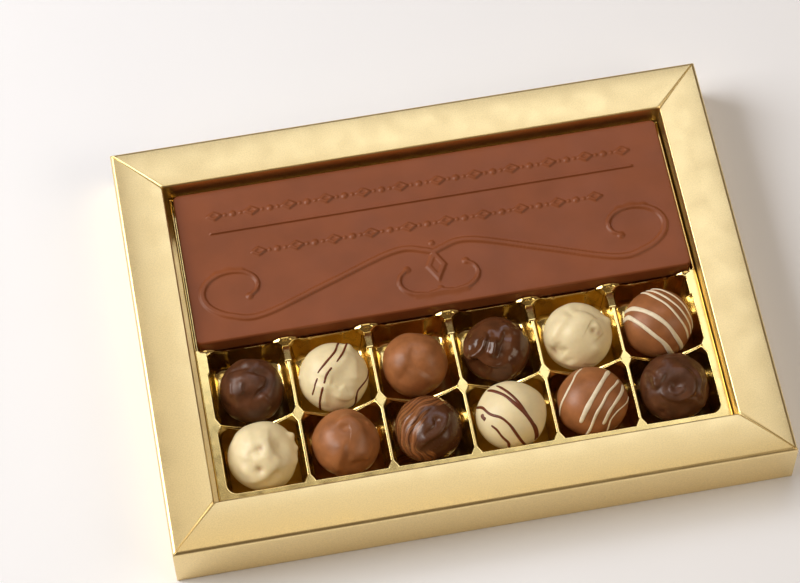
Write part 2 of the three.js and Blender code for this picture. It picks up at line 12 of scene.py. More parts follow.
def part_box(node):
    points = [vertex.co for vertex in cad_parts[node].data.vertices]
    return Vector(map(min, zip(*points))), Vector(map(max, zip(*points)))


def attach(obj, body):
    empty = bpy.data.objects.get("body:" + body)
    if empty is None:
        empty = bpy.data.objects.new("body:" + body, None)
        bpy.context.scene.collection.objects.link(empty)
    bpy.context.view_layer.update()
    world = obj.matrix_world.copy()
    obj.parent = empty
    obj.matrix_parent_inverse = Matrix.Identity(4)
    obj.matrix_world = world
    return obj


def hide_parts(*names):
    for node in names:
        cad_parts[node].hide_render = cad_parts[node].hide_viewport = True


bl_info = {
    "name": "Window box of pralines",
    "version": (1, 0, 0),
    "blender": (4, 5, 0),
    "location": "View3D > Sidebar > Pralines",
    "description": "Builds the skins, coats and drizzle of a box of pralines round its solid model",
    "category": "Add Mesh",
}

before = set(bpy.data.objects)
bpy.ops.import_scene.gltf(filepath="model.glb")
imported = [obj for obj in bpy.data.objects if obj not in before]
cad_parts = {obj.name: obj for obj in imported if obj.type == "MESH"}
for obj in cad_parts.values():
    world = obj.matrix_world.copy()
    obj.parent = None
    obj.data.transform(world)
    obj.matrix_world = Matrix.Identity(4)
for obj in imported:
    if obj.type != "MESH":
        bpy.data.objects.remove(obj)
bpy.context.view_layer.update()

# Every shape below is worked out in millimetres and becomes metres when its mesh is made.
MM = 0.001
WELD = 0.002 * MM
UP = np.array([0.0, 0.0, 1.0])


def linear(code):
    """Linear red, green and blue of an sRGB hex code."""
    parts = [int(code[k:k + 2], 16) / 255 for k in (1, 3, 5)]
    return tuple(p / 12.92 if p <= 0.04045 else ((p + 0.055) / 1.055) ** 2.4 for p in parts)


def corners(node):
    """Lowest and highest corner of a solid in millimetres."""
    low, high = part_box(node)
    return np.array(low) / MM, np.array(high) / MM


# The solids' own places, read from the frame.
BOX_HIGH = corners("frame_carton")[1]
TRAY_LOW, TRAY_HIGH = corners("moulded_tray")
BAR_LOW, BAR_HIGH = corners("chocolate_bar")

# Carton: the fold at the foot of its walls, the roundness of its crown and the reach of a mitre seam.
FOOT_FOLD = 0.3
CROWN_POWER = 2.4
SEAM_HALF = 0.13
SEAM_SPREAD = 0.3

# Tray: six columns and two rows of cells, whose middles the pralines share, between ridges and walls.
COLUMNS = 6
TRAY_SHIFT = 0.8
ROW_RIDGE_Y = -34.9
NEAR_CELL_Y = -65.2
FAR_CELL_Y = -2.0
WALL_HALF = 0.75
RIDGE_HALF = 0.6
NEAR_HALF = 0.4
CELL_FLOOR = 1.8
SADDLE_POWER = 1.3

# Walls of a cell: how far they lean and curl in, and the size of their corners along X and Y, with how much
# smaller they are at the top and at the foot. Some corners are round at every height.
WALL_LEAN = 1.35
WALL_CURL = 1.2
CORNER_SIZE = (4.7, 4.8)
CORNER_TOP = (2.9, 1.7)
CORNER_FOOT = 1.3
ROUND_CORNER = 4.2
DENSE_CORNER = 6.0

# The lowered stretch of a column ridge: where it starts, where its slant rises to the stop, and how much
# wider it is. The stop's edge rolls down over its last part, and ribs stand beside it.
NOTCH_START = (-10.8, -11.7)
SLANT_FOOT_Y = -3.4
SLANT_TOP_Y = -1.75
NOTCH_LENGTH = 7.1
NOTCH_WIDER = 0.75
WIDE_FROM = (-12.0, -10.6)
WIDE_TO = (-2.6, -4.6)
WIDE_UP = (11, 13.6)
STOP_ROLL = 0.35
ROLL_REACH = 1.5
STOP_SOFT = 0.3
RIB_ASIDE = 9.6
RIB_HALF = 0.8
FAR_ROUNDING = 1.7

# How far from the tray's edge its grid has lines, and the two lines between the pocket's sides and the cells.
EDGE_LINES = (0, 0.12, 0.3, 0.6)
POCKET_GAP = 0.3
LEFT_LINE = -99.3
RIGHT_LINE = 100.7
EDGE_DROP = 0.45

# Pralines: the middles of their rows, their height above and below the middle, and how steep their foot is.
FAR_ROW_Y = -20.4
NEAR_ROW_Y = -49.6
PRALINE_Z = 12.5
REACH_UP = 12.0
REACH_DOWN = 10.4
FOOT_FACTOR = 1.25

# The side that the relief of each praline is described from: in front, a little left, high up.
VIEWER = np.array([-106.3, -534.7, 1057.6])

# Where the main light comes from, how narrow a fold is on its steep and its gentle side, how much wider it is
# in white chocolate, and over what part of its length it fades out.
LIGHT_SIDE = np.array([-0.8, 0.25, 0.55])
FOLD_STEEP = 0.85
FOLD_GENTLE = 1.9
SOFT_WHITE = 1.4
FOLD_FADE = 0.28
FOLD_STEPS = 110

# The random softness of a coat: how many lumps, how wide, and their height as a share of the unevenness.
SOFTNESS = ((26, 5.0, 1.6), (90, 2.2, 0.5), (300, 1.0, 0.16))

# Drizzle: beyond what part of the radius a line runs on, how far it does, in radians, its width against the
# given one, how deep its underside sinks in, and its sections along and round it.
NEAR_EDGE = 0.8
RUN_ON = 0.32
LINE_SPREAD = 1.42
LINE_SUNK = 0.3
LINE_STEPS = 80
LINE_SIDES = 14

# Painted shade: white chocolate is painted browner over lumps lower and narrower than these, and never more
# than the last share.
SHADE_HOLLOW_BELOW = -0.85
SHADE_HOLLOW_NARROW = 3
SHADE_MOST = 0.6


def size(name, default, description):
    """A length property, given in millimetres."""
    return FloatProperty(
        name=name, default=default * MM, description=description, unit="LENGTH", precision=5, min=0)


def colour(name, code, description):
    """A colour property from an sRGB hex code."""
    return FloatVectorProperty(
        name=name, default=linear(code), description=description, subtype="COLOR", size=3, min=0, max=1)


class CartonSizes(bpy.types.PropertyGroup):
    """Sizes of the folded card frame."""

    strip_x: size("Side strip", 19.1, "Width of the left and right strips")
    strip_y: size("Long strip", 19.4, "Width of the near and far strips")
    outer_fold: size("Outer fold", 1.6, "Radius of the outer fold")
    inner_fold: size("Inner fold", 0.8, "Radius of the fold at the window")
    crown: size("Crown", 0.26, "How far the middle of a strip stands above its edges")
    lean: size("Lean", 0.22, "How far the outer edge of a strip lies below its inner edge")
    seam_depth: size("Seam depth", 0.34, "Depth of a mitre seam")
    base: size("Base card", 1.0, "Thickness of the base card")


class TraySizes(bpy.types.PropertyGroup):
    """Sizes of the thermoformed tray."""

    pitch: size("Pitch", 33.0, "Distance between two column ridges")
    shelf_z: size("Shelf height", 11.7, "Height of the shelf below the bar")
    notch_z: size("Notch height", 14.6, "Height of a column ridge where it is lowered near the bar")
    notch_foot: size("Notch foot", 13.3, "Height of a lowered ridge at the foot of its stop")
    stop_flat: size("Stop flat", 1.9, "Half width of the flat middle of a stop")
    stop_half: size("Stop half width", 4.9, "Half width of a stop down to the foot of its sloping shoulders")
    shoulder_z: size("Shoulder height", 14.0, "Height of the foot of a stop's shoulders")
    sill_from: size("Sill start", 6.4, "Distance from a ridge at which the sill starts")
    saddle_half: size("Saddle half width", 14.7, "Half of the dip in a row ridge")
    saddle_depth: size("Saddle depth", 8.2, "Depth of the dip in a row ridge")
    rounding: size("Ridge rounding", 0.4, "Height of the rounded top of a ridge")


class BarSizes(bpy.types.PropertyGroup):
    """Sizes of the moulded bar and its relief."""

    top: size("Top", 20.0, "Height of the bar's flat top")
    edge: size("Bevel", 0.8, "Width of the bevel round the top")
    corner: size("Corner", 1.6, "Radius of the corners")
    relief: size("Relief", 0.75, "Height of the raised ornament")
    scroll_width: size("Scroll width", 2.2, "Width of the scroll's stem")


class PralineSizes(bpy.types.PropertyGroup):
    """Fineness and unevenness of the coats, and the height of the drizzle."""

    around: IntProperty(name="Around", default=232, min=24, description="Faces round a coat")
    bands: IntProperty(name="Bands", default=168, min=16, description="Faces from pole to pole")
    uneven: size("Unevenness", 0.34, "Height of the soft random unevenness of a coat")
    drizzle_rise: size("Drizzle rise", 0.38, "Height of a line of drizzle above the coat")
    boost: FloatProperty(
        name="Fold boost", default=1.2, min=0, description="Factor on the height of every fold")


class Finishes(bpy.types.PropertyGroup):
    """Colours of the finishes."""

    card: colour("Card", "#f3dba1", "Gold laminated card")
    tray: colour("Tray", "#f2d78e", "Metallised tray")
    bar: colour("Bar", "#874a29", "Milk chocolate bar")
    dark: colour("Dark coat", "#55311b", "Dark chocolate coat")
    milk: colour("Milk coat", "#9a6138", "Milk chocolate coat")
    white: colour("White coat", "#efdeb2", "White chocolate coat")
    dark_line: colour("Dark drizzle", "#6b3010", "Dark drizzle")
    cream: colour("Cream drizzle", "#e8d9bc", "Cream drizzle")
    floor: colour("Floor", "#f7f9ff", "Pale floor")


def lengths(group):
    """All lengths of a property group in millimetres, by name."""
    kinds = group.bl_rna.properties
    names = [name for name in group.__annotations__ if kinds[name].unit == "LENGTH"]
    return SimpleNamespace(**{name: getattr(group, name) / MM for name in names})


# Small functions on arrays.
def smooth_step(low, high, value):
    """Rises from 0 at low to 1 at high, level at both ends."""
    part = np.clip((value - low) / (high - low), 0, 1)
    return part * part * (3 - 2 * part)


def unit(vectors):
    """Vectors of length one."""
    return vectors / np.linalg.norm(vectors, axis=-1, keepdims=True)


def smooth_curve(points, count):
    """Catmull-Rom curve through the points, count samples spaced evenly by its parameter."""
    points = np.asarray(points, float)
    ends = np.vstack([2 * points[0] - points[1], points, 2 * points[-1] - points[-2]])
    along = np.linspace(0, len(points) - 1, count)
    first = np.minimum(along.astype(int), len(points) - 2)
    part = (along - first)[:, None]
    a, b, c, d = (ends[first + k] for k in range(4))
    bend = (c - a) * part + (2 * a - 5 * b + 4 * c - d) * part ** 2
    return b + 0.5 * (bend + (3 * b - a - 3 * c + d) * part ** 3)


def grid_faces(rows, columns, first, loops):
    """Quads of a grid numbered row by row; loops joins the last column to the first."""
    across = np.arange(columns if loops else columns - 1)
    after = (across + 1) % columns
    down = first + np.arange(rows - 1)[:, None] * columns
    corner = [down + across, down + after, down + columns + after, down + columns + across]
    return np.stack(corner, -1).reshape(-1, 4)


def make_piece(name, grids, material, node, sharp=50):
    """Joins grids of points, in millimetres, into one closed skin that stands for a solid of the frame.

    Each entry of grids is (points of shape rows by columns by 3, whether its columns close into a loop).
    Points that coincide are welded, so grids that share an edge and rows that shrink to a pole are closed.
    """
    points = np.concatenate([grid.reshape(-1, 3) for grid, _ in grids]) * MM
    faces = []
    first = 0
    for grid, loops in grids:
        rows, columns = grid.shape[:2]
        faces.append(grid_faces(rows, columns, first, loops))
        first += rows * columns
    mesh = bpy.data.meshes.new(name)
    mesh.from_pydata(points.tolist(), [], np.concatenate(faces).tolist())
    shell = bmesh.new()
    shell.from_mesh(mesh)
    bmesh.ops.remove_doubles(shell, verts=shell.verts, dist=WELD)
    bmesh.ops.recalc_face_normals(shell, faces=shell.faces)
    shell.to_mesh(mesh)
    shell.free()
    mesh.polygons.foreach_set("use_smooth", np.ones(len(mesh.polygons), bool))
    mesh.set_sharp_from_angle(angle=math.radians(sharp))
    mesh.materials.append(material)
    piece = bpy.data.objects.new(name, mesh)
    bpy.context.scene.collection.objects.link(piece)
    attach(piece, "root")
    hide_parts(node)
    return piece


# Materials
def add_node(tree, kind, inputs=None, **settings):
    """Adds a node: settings are its own properties, inputs are values or the sockets to link."""
    node = tree.nodes.new(kind)
    for name, value in settings.items():
        setattr(node, name, value)
    for name, value in (inputs or {}).items():
        if isinstance(value, bpy.types.NodeSocket):
            tree.links.new(value, node.inputs[name])
        else:
            node.inputs[name].default_value = value
    return node


def noise(tree, place, spacing, detail=2.0):
    """A soft noise whose lumps are about spacing millimetres apart."""
    values = {"Vector": place, "Scale": 1 / (spacing * MM), "Detail": detail}
    return add_node(tree, "ShaderNodeTexNoise", values).outputs["Fac"]


def two_tone(tree, share, first, second, low=0.35, high=0.65):
    """A colour that goes from the first to the second linear colour while share goes from low to high."""
    ramp = add_node(tree, "ShaderNodeValToRGB", {"Fac": share})
    for stop, position, tone in zip(ramp.color_ramp.elements, (low, high), (first, second)):
        stop.position = position
        stop.color = (*tone, 1)
    return ramp.outputs["Color"]


def finish(name, base, roughness, bumps, **values):
    """A material whose colour and roughness drift and whose surface is finely uneven, in Object coordinates.

    base is (spacing, first, second) or None, roughness is (spacing, low, high) or None, and bumps are pairs
    of spacing and height, one over the other, in millimetres. Values go to the shader's own sockets.
    """
    material = bpy.data.materials.new(name)
    material.use_nodes = True
    tree = material.node_tree
    shader = tree.nodes["Principled BSDF"]
    for socket, value in values.items():
        shader.inputs[socket.replace("_", " ")].default_value = value
    place = add_node(tree, "ShaderNodeTexCoord").outputs["Object"]
    if base:
        spacing, first, second = base
        drift = two_tone(tree, noise(tree, place, spacing, 3.0), first, second)
        tree.links.new(drift, shader.inputs["Base Color"])
    if roughness:
        spacing, low, high = roughness
        drift = add_node(tree, "ShaderNodeMapRange", {
            "Value": noise(tree, place, spacing), "From Min": 0.3, "From Max": 0.7,
            "To Min": low, "To Max": high})
        tree.links.new(drift.outputs["Result"], shader.inputs["Roughness"])
    normal = {}
    for spacing, height in bumps:
        inputs = {"Height": noise(tree, place, spacing), "Distance": height * MM, "Strength": 1.0, **normal}
        normal = {"Normal": add_node(tree, "ShaderNodeBump", inputs).outputs["Normal"]}
    for bump in normal.values():
        tree.links.new(bump, shader.inputs["Normal"])
    return material


def shades(spacing, tone, darker, lighter):
    """A colour that drifts between two shades of one tone."""
    return spacing, shaded(tone, darker), shaded(tone, lighter)


def shaded(tone, factor):
    """A colour made darker or lighter by one factor."""
    return tuple(min(part * factor, 1) for part in tone)


def laminated_gold_card(tone):
    """Paperboard laminated with gold foil and calendered: soft wide reflections over a fine paper grain."""
    # The paper fibre is about 0.1 mm apart and is drawn at 0.5 mm, so that it shows in the render.
    bumps = [(14.0, 0.02), (0.5, 0.006)]
    base = shades(0.45, tone, 0.93, 1.05)
    return finish("laminated_gold_card", base, (9.0, 0.30, 0.36), bumps, Metallic=1.0)


def metallised_tray_sheet(tone):
    """Thermoformed polystyrene, vacuum metallised in gold: nearly a mirror, with slow forming ripples."""
    bumps = [(9.0, 0.018), (1.6, 0.002)]
    base = shades(6.0, tone, 0.92, 1.05)
    return finish("metallised_tray_sheet", base, (5.0, 0.13, 0.19), bumps, Metallic=1.0)


def moulded_milk_chocolate(tone):
    """Milk chocolate set in a polished mould: satin, smooth, with faint cloudy patches."""
    bumps = [(5.0, 0.015), (0.7, 0.004)]
    base = shades(18.0, tone, 0.92, 1.08)
    return finish("moulded_milk_chocolate", base, (12.0, 0.38, 0.46), bumps, IOR=1.38)


def dipped_coat(name, tone, gloss, mottle, spacing=6.0):
    """Chocolate that ran over a centre and set in air: glossy to satin, with slow drifts of tone."""
    bumps = [(2.2, 0.035), (0.5, 0.006)]
    base = shades(spacing, tone, 1 - mottle, 1 + mottle)
    return finish(name, base, (4.0, gloss, gloss + 0.08), bumps, IOR=1.46)


def thin_white_coat(tone, shade_tone):
    """White chocolate: satin cream, with painted shade that turns it browner in its deep narrow hollows and
    along given lines.
    """
    material = finish(
        "dipped_white_coat", shades(6.0, tone, 0.94, 1.04), (4.0, 0.38, 0.46), [(2.2, 0.03), (0.5, 0.006)],
        IOR=1.46, Subsurface_Weight=0.15, Subsurface_Radius=(1.0, 0.6, 0.25), Subsurface_Scale=0.8 * MM)
    tree = material.node_tree
    socket = tree.nodes["Principled BSDF"].inputs["Base Color"]
    # Painted shade: a point attribute mixes the cream towards the milk tone in the hollows.
    thin = add_node(tree, "ShaderNodeAttribute", attribute_name="thin").outputs["Fac"]
    mixed = add_node(tree, "ShaderNodeMix", data_type="RGBA")
    tree.links.new(thin, mixed.inputs["Factor"])
    tree.links.new(socket.links[0].from_socket, mixed.inputs["A"])
    mixed.inputs["B"].default_value = (*shade_tone, 1)
    tree.links.new(mixed.outputs["Result"], socket)
    return material


def marbled_coat(dark, milk):
    """Dark chocolate combed with milk chocolate while wet: bands that follow the combing, glossy."""
    material = finish("marbled_coat", None, (4.0, 0.22, 0.3), [(2.2, 0.03), (0.5, 0.005)], IOR=1.46)
    tree = material.node_tree
    bands = add_node(tree, "ShaderNodeAttribute", attribute_name="marble").outputs["Fac"]
    mixed = two_tone(tree, bands, dark, milk, 0.36, 0.8)
    tree.links.new(mixed, tree.nodes["Principled BSDF"].inputs["Base Color"])
    return material


def matte_paper(tone):
    """A sheet of matte paper: plain, even and pale."""
    return finish("matte_paper", shades(60.0, tone, 0.99, 1), None, [], Roughness=0.9)


def material_of(kind):
    """The material of that kind, made once."""
    finishes = bpy.context.scene.pralines_finishes
    tones = SimpleNamespace(**{name: tuple(getattr(finishes, name)) for name in finishes.__annotations__})
    makers = {
        "card": lambda: laminated_gold_card(tones.card),
        "tray": lambda: metallised_tray_sheet(tones.tray),
        "bar": lambda: moulded_milk_chocolate(tones.bar),
        "dark": lambda: dipped_coat("dipped_dark_coat", tones.dark, 0.36, 0.25),
        "glossy": lambda: dipped_coat("glossy_dark_coat", shaded(tones.dark, 1.1), 0.13, 0.2),
        "milk": lambda: dipped_coat("dipped_milk_coat", tones.milk, 0.38, 0.16),
        # The white coat's hollows are painted browner with the milk tone, as shade.
        "white": lambda: thin_white_coat(tones.white, tones.milk),
        "marbled": lambda: marbled_coat(shaded(tones.dark, 0.95), shaded(tones.milk, 0.9)),
        "cream_line": lambda: dipped_coat("cream_drizzle", tones.cream, 0.38, 0.06, 2.0),
        "dark_line": lambda: dipped_coat("dark_drizzle", tones.dark_line, 0.42, 0.10, 2.0),
        "floor": lambda: matte_paper(tones.floor),
    }
    scene = bpy.context.scene
    made = dict(scene.get("pralines_materials") or {})
    if kind not in made:
        scene["pralines_materials"] = made = {**made, kind: makers[kind]().name}
    return bpy.data.materials[made[kind]]


# Carton
def card_section(sizes):
    """The strip's section as (inward, up): underside, wall, fold, crowned top, inner fold, inner wall, base.

    The top is a cushion, highest in its middle, that leans down to the outer edge. The section starts and
    ends on the middle line of the box, so that the ring it makes is closed.
    """
    wide, outer, inner = sizes.strip_x, sizes.outer_fold, sizes.inner_fold
    top = BOX_HIGH[2]
    shoulder = top - sizes.crown
    middle = BOX_HIGH[1] * wide / sizes.strip_y
    turn = np.linspace(0, math.pi / 2, 11)
    across = np.linspace(0, 1, 25)[1:-1]
    edge = shoulder - sizes.lean
    outer_arc = np.stack([outer - outer * np.cos(turn), edge - outer + outer * np.sin(turn)], -1)
    inner_arc = np.stack([wide - inner + inner * np.sin(turn), shoulder - inner + inner * np.cos(turn)], -1)
    cushion = top - sizes.crown * np.abs(2 * across - 1) ** CROWN_POWER - sizes.lean * (1 - across)
    flat = np.stack([outer + across * (wide - inner - outer), cushion], -1)
    start = [(middle, 0), (wide, 0), (FOOT_FOLD, 0), (0.08, 0.08), (0, FOOT_FOLD)]
    wall = [(0, up) for up in np.linspace(2, shoulder - outer - 2, 6)]
    end = [(wide, up) for up in np.linspace(shoulder - inner - 1, sizes.base + 0.3, 5)]
    end += [(wide, sizes.base), (middle, sizes.base)]
    return np.concatenate([start, wall, outer_arc, flat, inner_arc, end])


def carton_points(sizes):
    """The section carried round four mitred sides; along is measured from each corner, densest there.

    At each mitre the top sinks by depth times exp(-(distance / width) squared), wider towards the window.
    """
    section = card_section(sizes)
    inward, up = section[:, :1], section[:, 1:]
    half_x = BOX_HIGH[0] - inward
    half_y = BOX_HIGH[1] - inward * (sizes.strip_y / sizes.strip_x)
    corner_steps = [0, 0.12, 0.25, 0.4, 0.6, 0.8, 1.05, 1.4, 1.9, 2.6, 3.6, 5]
    near = np.concatenate([corner_steps, np.geomspace(7, 100, 12)])
    part = np.concatenate([near / BOX_HIGH[0], [1]])
    part = np.concatenate([part - 1, (1 - part)[::-1][1:]])[:-1]
    width = SEAM_HALF + SEAM_SPREAD * np.clip(inward / sizes.strip_x, 0, 1)
    depth = sizes.seam_depth * smooth_step(BOX_HIGH[2] - 4, BOX_HIGH[2] - 1, up)
    rings = []
    for turn in range(4):
        along_half, across_half = (half_x, half_y) if turn % 2 == 0 else (half_y, half_x)
        along = along_half * part
        distance = along_half * (1 - np.abs(part)) * math.sqrt(0.5)
        sink = depth * np.exp(-(distance / width) ** 2)
        across = np.broadcast_to(-across_half, along.shape)
        angle = turn * math.pi / 2
        x = along * math.cos(angle) - across * math.sin(angle)
        y = along * math.sin(angle) + across * math.cos(angle)
        rings.append(np.stack([x, y, up - sink], -1))
    return np.concatenate(rings, 1)


class PRALINES_OT_carton(bpy.types.Operator):
    """Make the folded gold card frame"""

    bl_idname = "pralines.carton"
    bl_label = "Carton"

    def execute(self, context):
        points = carton_points(lengths(context.scene.pralines_carton))
        make_piece("carton_skin", [(points, True)], material_of("card"), "frame_carton")
        return {"FINISHED"}


# Tray
def ridge_x(k, pitch):
    """X of the column ridge with that number, 0 at the left flange."""
    return TRAY_SHIFT + (k - COLUMNS / 2) * pitch


def wall_inset(height):
    """How far a cell's wall stands in: it leans by a tenth, and curls in to the floor at its foot.

    The lean is a low power of the part of the height still to go, and the curl is a high one.
    """
    part = np.clip((height - CELL_FLOOR) / (TRAY_HIGH[2] - CELL_FLOOR), 0, 1)
    return 0.08 + WALL_LEAN * (1 - part) ** 1.3 + WALL_CURL * (1 - part) ** 12


def wall_corner(height):
    """Size of a cell's corner along X and Y, and its power: cut straight near the top, round below."""
    chamfer = smooth_step(12.4, TRAY_HIGH[2], height)
    foot = CORNER_FOOT * smooth_step(5, CELL_FLOOR, height)
    sides = [below - less * chamfer - foot for below, less in zip(CORNER_SIZE, CORNER_TOP)]
    return *sides, 2 - 0.95 * smooth_step(11.4, 15.2, height)


def dense_ends(start, end, in_corner, between):
    """Samples from start to end, denser in the two corners."""
    ends = np.linspace(0, DENSE_CORNER, in_corner)
    middle = np.linspace(start + DENSE_CORNER, end - DENSE_CORNER, between)[1:-1]
    return np.concatenate([start + ends, middle, end - ends[::-1]])


def cell_columns(column, pitch):
    """X of the samples across a cell."""
    return dense_ends(ridge_x(column, pitch), ridge_x(column + 1, pitch), 17, 22)


def cell_rows_far():
    """Y of the samples along a far cell, denser where the ridge is lowered and at its stop."""
    stretches = [(ROW_RIDGE_Y, -29.0, 14), (-29.0, -12.2, 16), (-12.2, -10.0, 16), (-10.0, -4.2, 8)]
    last = np.linspace(-4.2, FAR_CELL_Y + WALL_HALF, 21)
    return np.concatenate([np.linspace(a, b, n, endpoint=False) for a, b, n in stretches] + [last])


def cell_rows_near():
    """Y of the samples along a near cell."""
    return dense_ends(NEAR_CELL_Y, ROW_RIDGE_Y, 15, 18)


def perimeter(xs, ys):
    """X and Y once round the rectangle whose sides have those samples."""
    across, down = len(xs) - 1, len(ys) - 1
    x = np.concatenate([xs[:-1], np.full(down, xs[-1]), xs[:0:-1], np.full(down, xs[0])])
    y = np.concatenate([np.full(across, ys[0]), ys[:-1], np.full(across, ys[-1]), ys[:0:-1]])
    return x, y


def nearest_ridge(x, pitch):
    """How far each x is from the nearest column ridge."""
    nearest = np.clip(np.round((x - TRAY_SHIFT) / pitch + COLUMNS / 2), 0, COLUMNS)
    return np.abs(x - ridge_x(nearest, pitch))


def near_ribs(aside):
    """1 on the small ribs that stand beside each stop, falling off on both sides."""
    return np.exp(-((aside - RIB_ASIDE) / RIB_HALF) ** 2)


def tray_top(x, y, sizes):
    """Height of the tray's skin outside the cells.

    It is the flat flange, less a dip along the row ridge by depth times (1 - part to the power 1.3). The
    column ridges are lowered towards the bar and rise again by a steep slant to the stop, whose edge rolls
    down a little. Between two stops the wall beside the bar is cut down to a rounded sill.
    """
    flange = TRAY_HIGH[2]
    aside = nearest_ridge(x, sizes.pitch)
    inside = (x > ridge_x(0, sizes.pitch) + 0.3) & (x < ridge_x(COLUMNS, sizes.pitch) - 0.3)
    part = np.clip((sizes.pitch / 2 - aside) / sizes.saddle_half, 0, 1)
    dip = sizes.saddle_depth * (1 - part ** SADDLE_POWER)
    height = flange - np.where(inside & (np.abs(y - ROW_RIDGE_Y) < 0.01), dip, 0)
    # Lowered stretch of a column ridge, with its rounded start and the slant at its end.
    inner = (x > ridge_x(0.5, sizes.pitch)) & (x < ridge_x(COLUMNS - 0.5, sizes.pitch))
    back = np.clip((SLANT_FOOT_Y - y) / NOTCH_LENGTH, 0, 1)
    low = sizes.notch_foot + (sizes.notch_z - sizes.notch_foot) * back
    slant = np.clip((y - SLANT_FOOT_Y) / (SLANT_TOP_Y - SLANT_FOOT_Y), 0, 1)
    roll = STOP_ROLL * np.clip((FAR_CELL_Y + ROLL_REACH - y) / ROLL_REACH, 0, 1) ** 1.5
    lowered = low + (flange - roll - low) * np.maximum(slant, smooth_step(*NOTCH_START, y))
    height = np.where(inner & (y > NOTCH_START[1]), lowered, height)
    # The stop is flat in its middle, and its shoulders slope, then fall to the sill on both sides.
    sill = sizes.shelf_z + 0.3 + 0.35 * near_ribs(aside)
    over = aside - sizes.stop_flat
    lean = (flange - sizes.shoulder_z) / (sizes.stop_half - sizes.stop_flat)
    stop = flange - lean * 0.5 * (over + np.sqrt(over ** 2 + STOP_SOFT))
    wall = stop + (sill - stop) * smooth_step(sizes.stop_half - 0.3, sizes.sill_from, aside)
    return np.where((y > FAR_CELL_Y) & inside, wall - roll, height)


def cell_rings(column, row, sizes):
    """One cell: rings from the middle lines of its walls over their level tops and down to the floor.

    A ring is the outer rectangle drawn in by the wall's inset, with corners pulled onto the curve
    x^n + y^n = 1, where n is 1 for the straight corners at the top and 2 for the round ones below. The two
    corners beside the bar are round at every height, as are the outer corners of the near row, and small ribs
    stand on the wall beside the bar. The wall's edge is a quarter round.
    """
    left, right = ridge_x(column, sizes.pitch), ridge_x(column + 1, sizes.pitch)
    near, far = ((ROW_RIDGE_Y, FAR_CELL_Y + WALL_HALF), (NEAR_CELL_Y, ROW_RIDGE_Y))[row]
    x, y = perimeter(cell_columns(column, sizes.pitch), (cell_rows_far, cell_rows_near)[row]())
    middle_x, middle_y = (left + right) / 2, (near + far) / 2
    half_x, half_y = (right - left) / 2, (far - near) / 2
    aside = nearest_ridge(x, sizes.pitch)
    far_side = (y > far - 0.01) & (row == 0)
    outermost = ((column == 0) & (x < middle_x)) | ((column == COLUMNS - 1) & (x > middle_x))
    rounded = ((y > middle_y) & (row == 0)) | (outermost & (y < middle_y) & (row == 1))
    rounding = sizes.rounding + (FAR_ROUNDING - sizes.rounding) * far_side * smooth_step(5, 7.5, aside)
    # The lowered part of a ridge is wider than the rest of it.
    wider = NOTCH_WIDER * smooth_step(*WIDE_FROM, y) * smooth_step(*WIDE_TO, y)
    margin_y = np.where(far_side, WALL_HALF, NEAR_HALF)
    rib = 0.5 * near_ribs(aside) * far_side

    def ring(height, share):
        """The wall at that height, where share is 0 on the middle line and 1 on the wall itself."""
        inset = wall_inset(height)
        in_x = half_x - (RIDGE_HALF + wider * smooth_step(*WIDE_UP, height) + inset) * share
        in_y = half_y - (margin_y + inset + rib) * share
        *sides, power = wall_corner(height)
        sides = [np.where(rounded, np.maximum(side, ROUND_CORNER), side) * share for side in sides]
        corner_x, corner_y = sides
        power = np.where(rounded, 2.0, power)
        px = (x - middle_x) / half_x * in_x
        py = (y - middle_y) / half_y * in_y
        cx = np.clip((np.abs(px) - in_x + corner_x) / np.maximum(corner_x, 1e-6), 0, 1)
        cy = np.clip((np.abs(py) - in_y + corner_y) / np.maximum(corner_y, 1e-6), 0, 1)
        length = np.maximum((cx ** power + cy ** power) ** (1 / power), 1)
        cut = (cx > 0) & (cy > 0)
        px = np.where(cut, np.sign(px) * (in_x - corner_x + corner_x * cx / length), px)
        py = np.where(cut, np.sign(py) * (in_y - corner_y + corner_y * cy / length), py)
        return middle_x + px, middle_y + py

    crest = tray_top(x, y, sizes)
    rows = [np.stack([x, y, crest], -1)]
    wall_x, wall_y = ring(crest, 1.0)
    for share in (0.2, 0.4, 0.55, 0.68, 0.78, 0.86, 0.92, 0.965, 0.99, 1.0):
        px, py = ring(crest, share)
        # Along the row ridge the dip belongs to the ridge's middle line, so its own height is carried over.
        here = np.where(np.abs(y - ROW_RIDGE_Y) < 0.01, crest, tray_top(px, py, sizes))
        onto_edge = np.clip(1 - np.hypot(px - wall_x, py - wall_y) / rounding, 0, 1)
        rows.append(np.stack([px, py, here - rounding * (1 - np.sqrt(1 - onto_edge ** 2))], -1))
    shoulder = rows[-1][:, 2]
    for share in np.linspace(0, 1, 15)[1:]:
        height = shoulder + (CELL_FLOOR - shoulder) * share
        rows.append(np.stack([*ring(height, 1.0), height], -1))
    floor = np.full_like(x, CELL_FLOOR)
    px, py = ring(floor, 1.0)
    for share in (0.8, 0.5, 0.0):
        across, along = middle_x + (px - middle_x) * share, middle_y + (py - middle_y) * share
        rows.append(np.stack([across, along, floor], -1))
    return np.stack(rows)


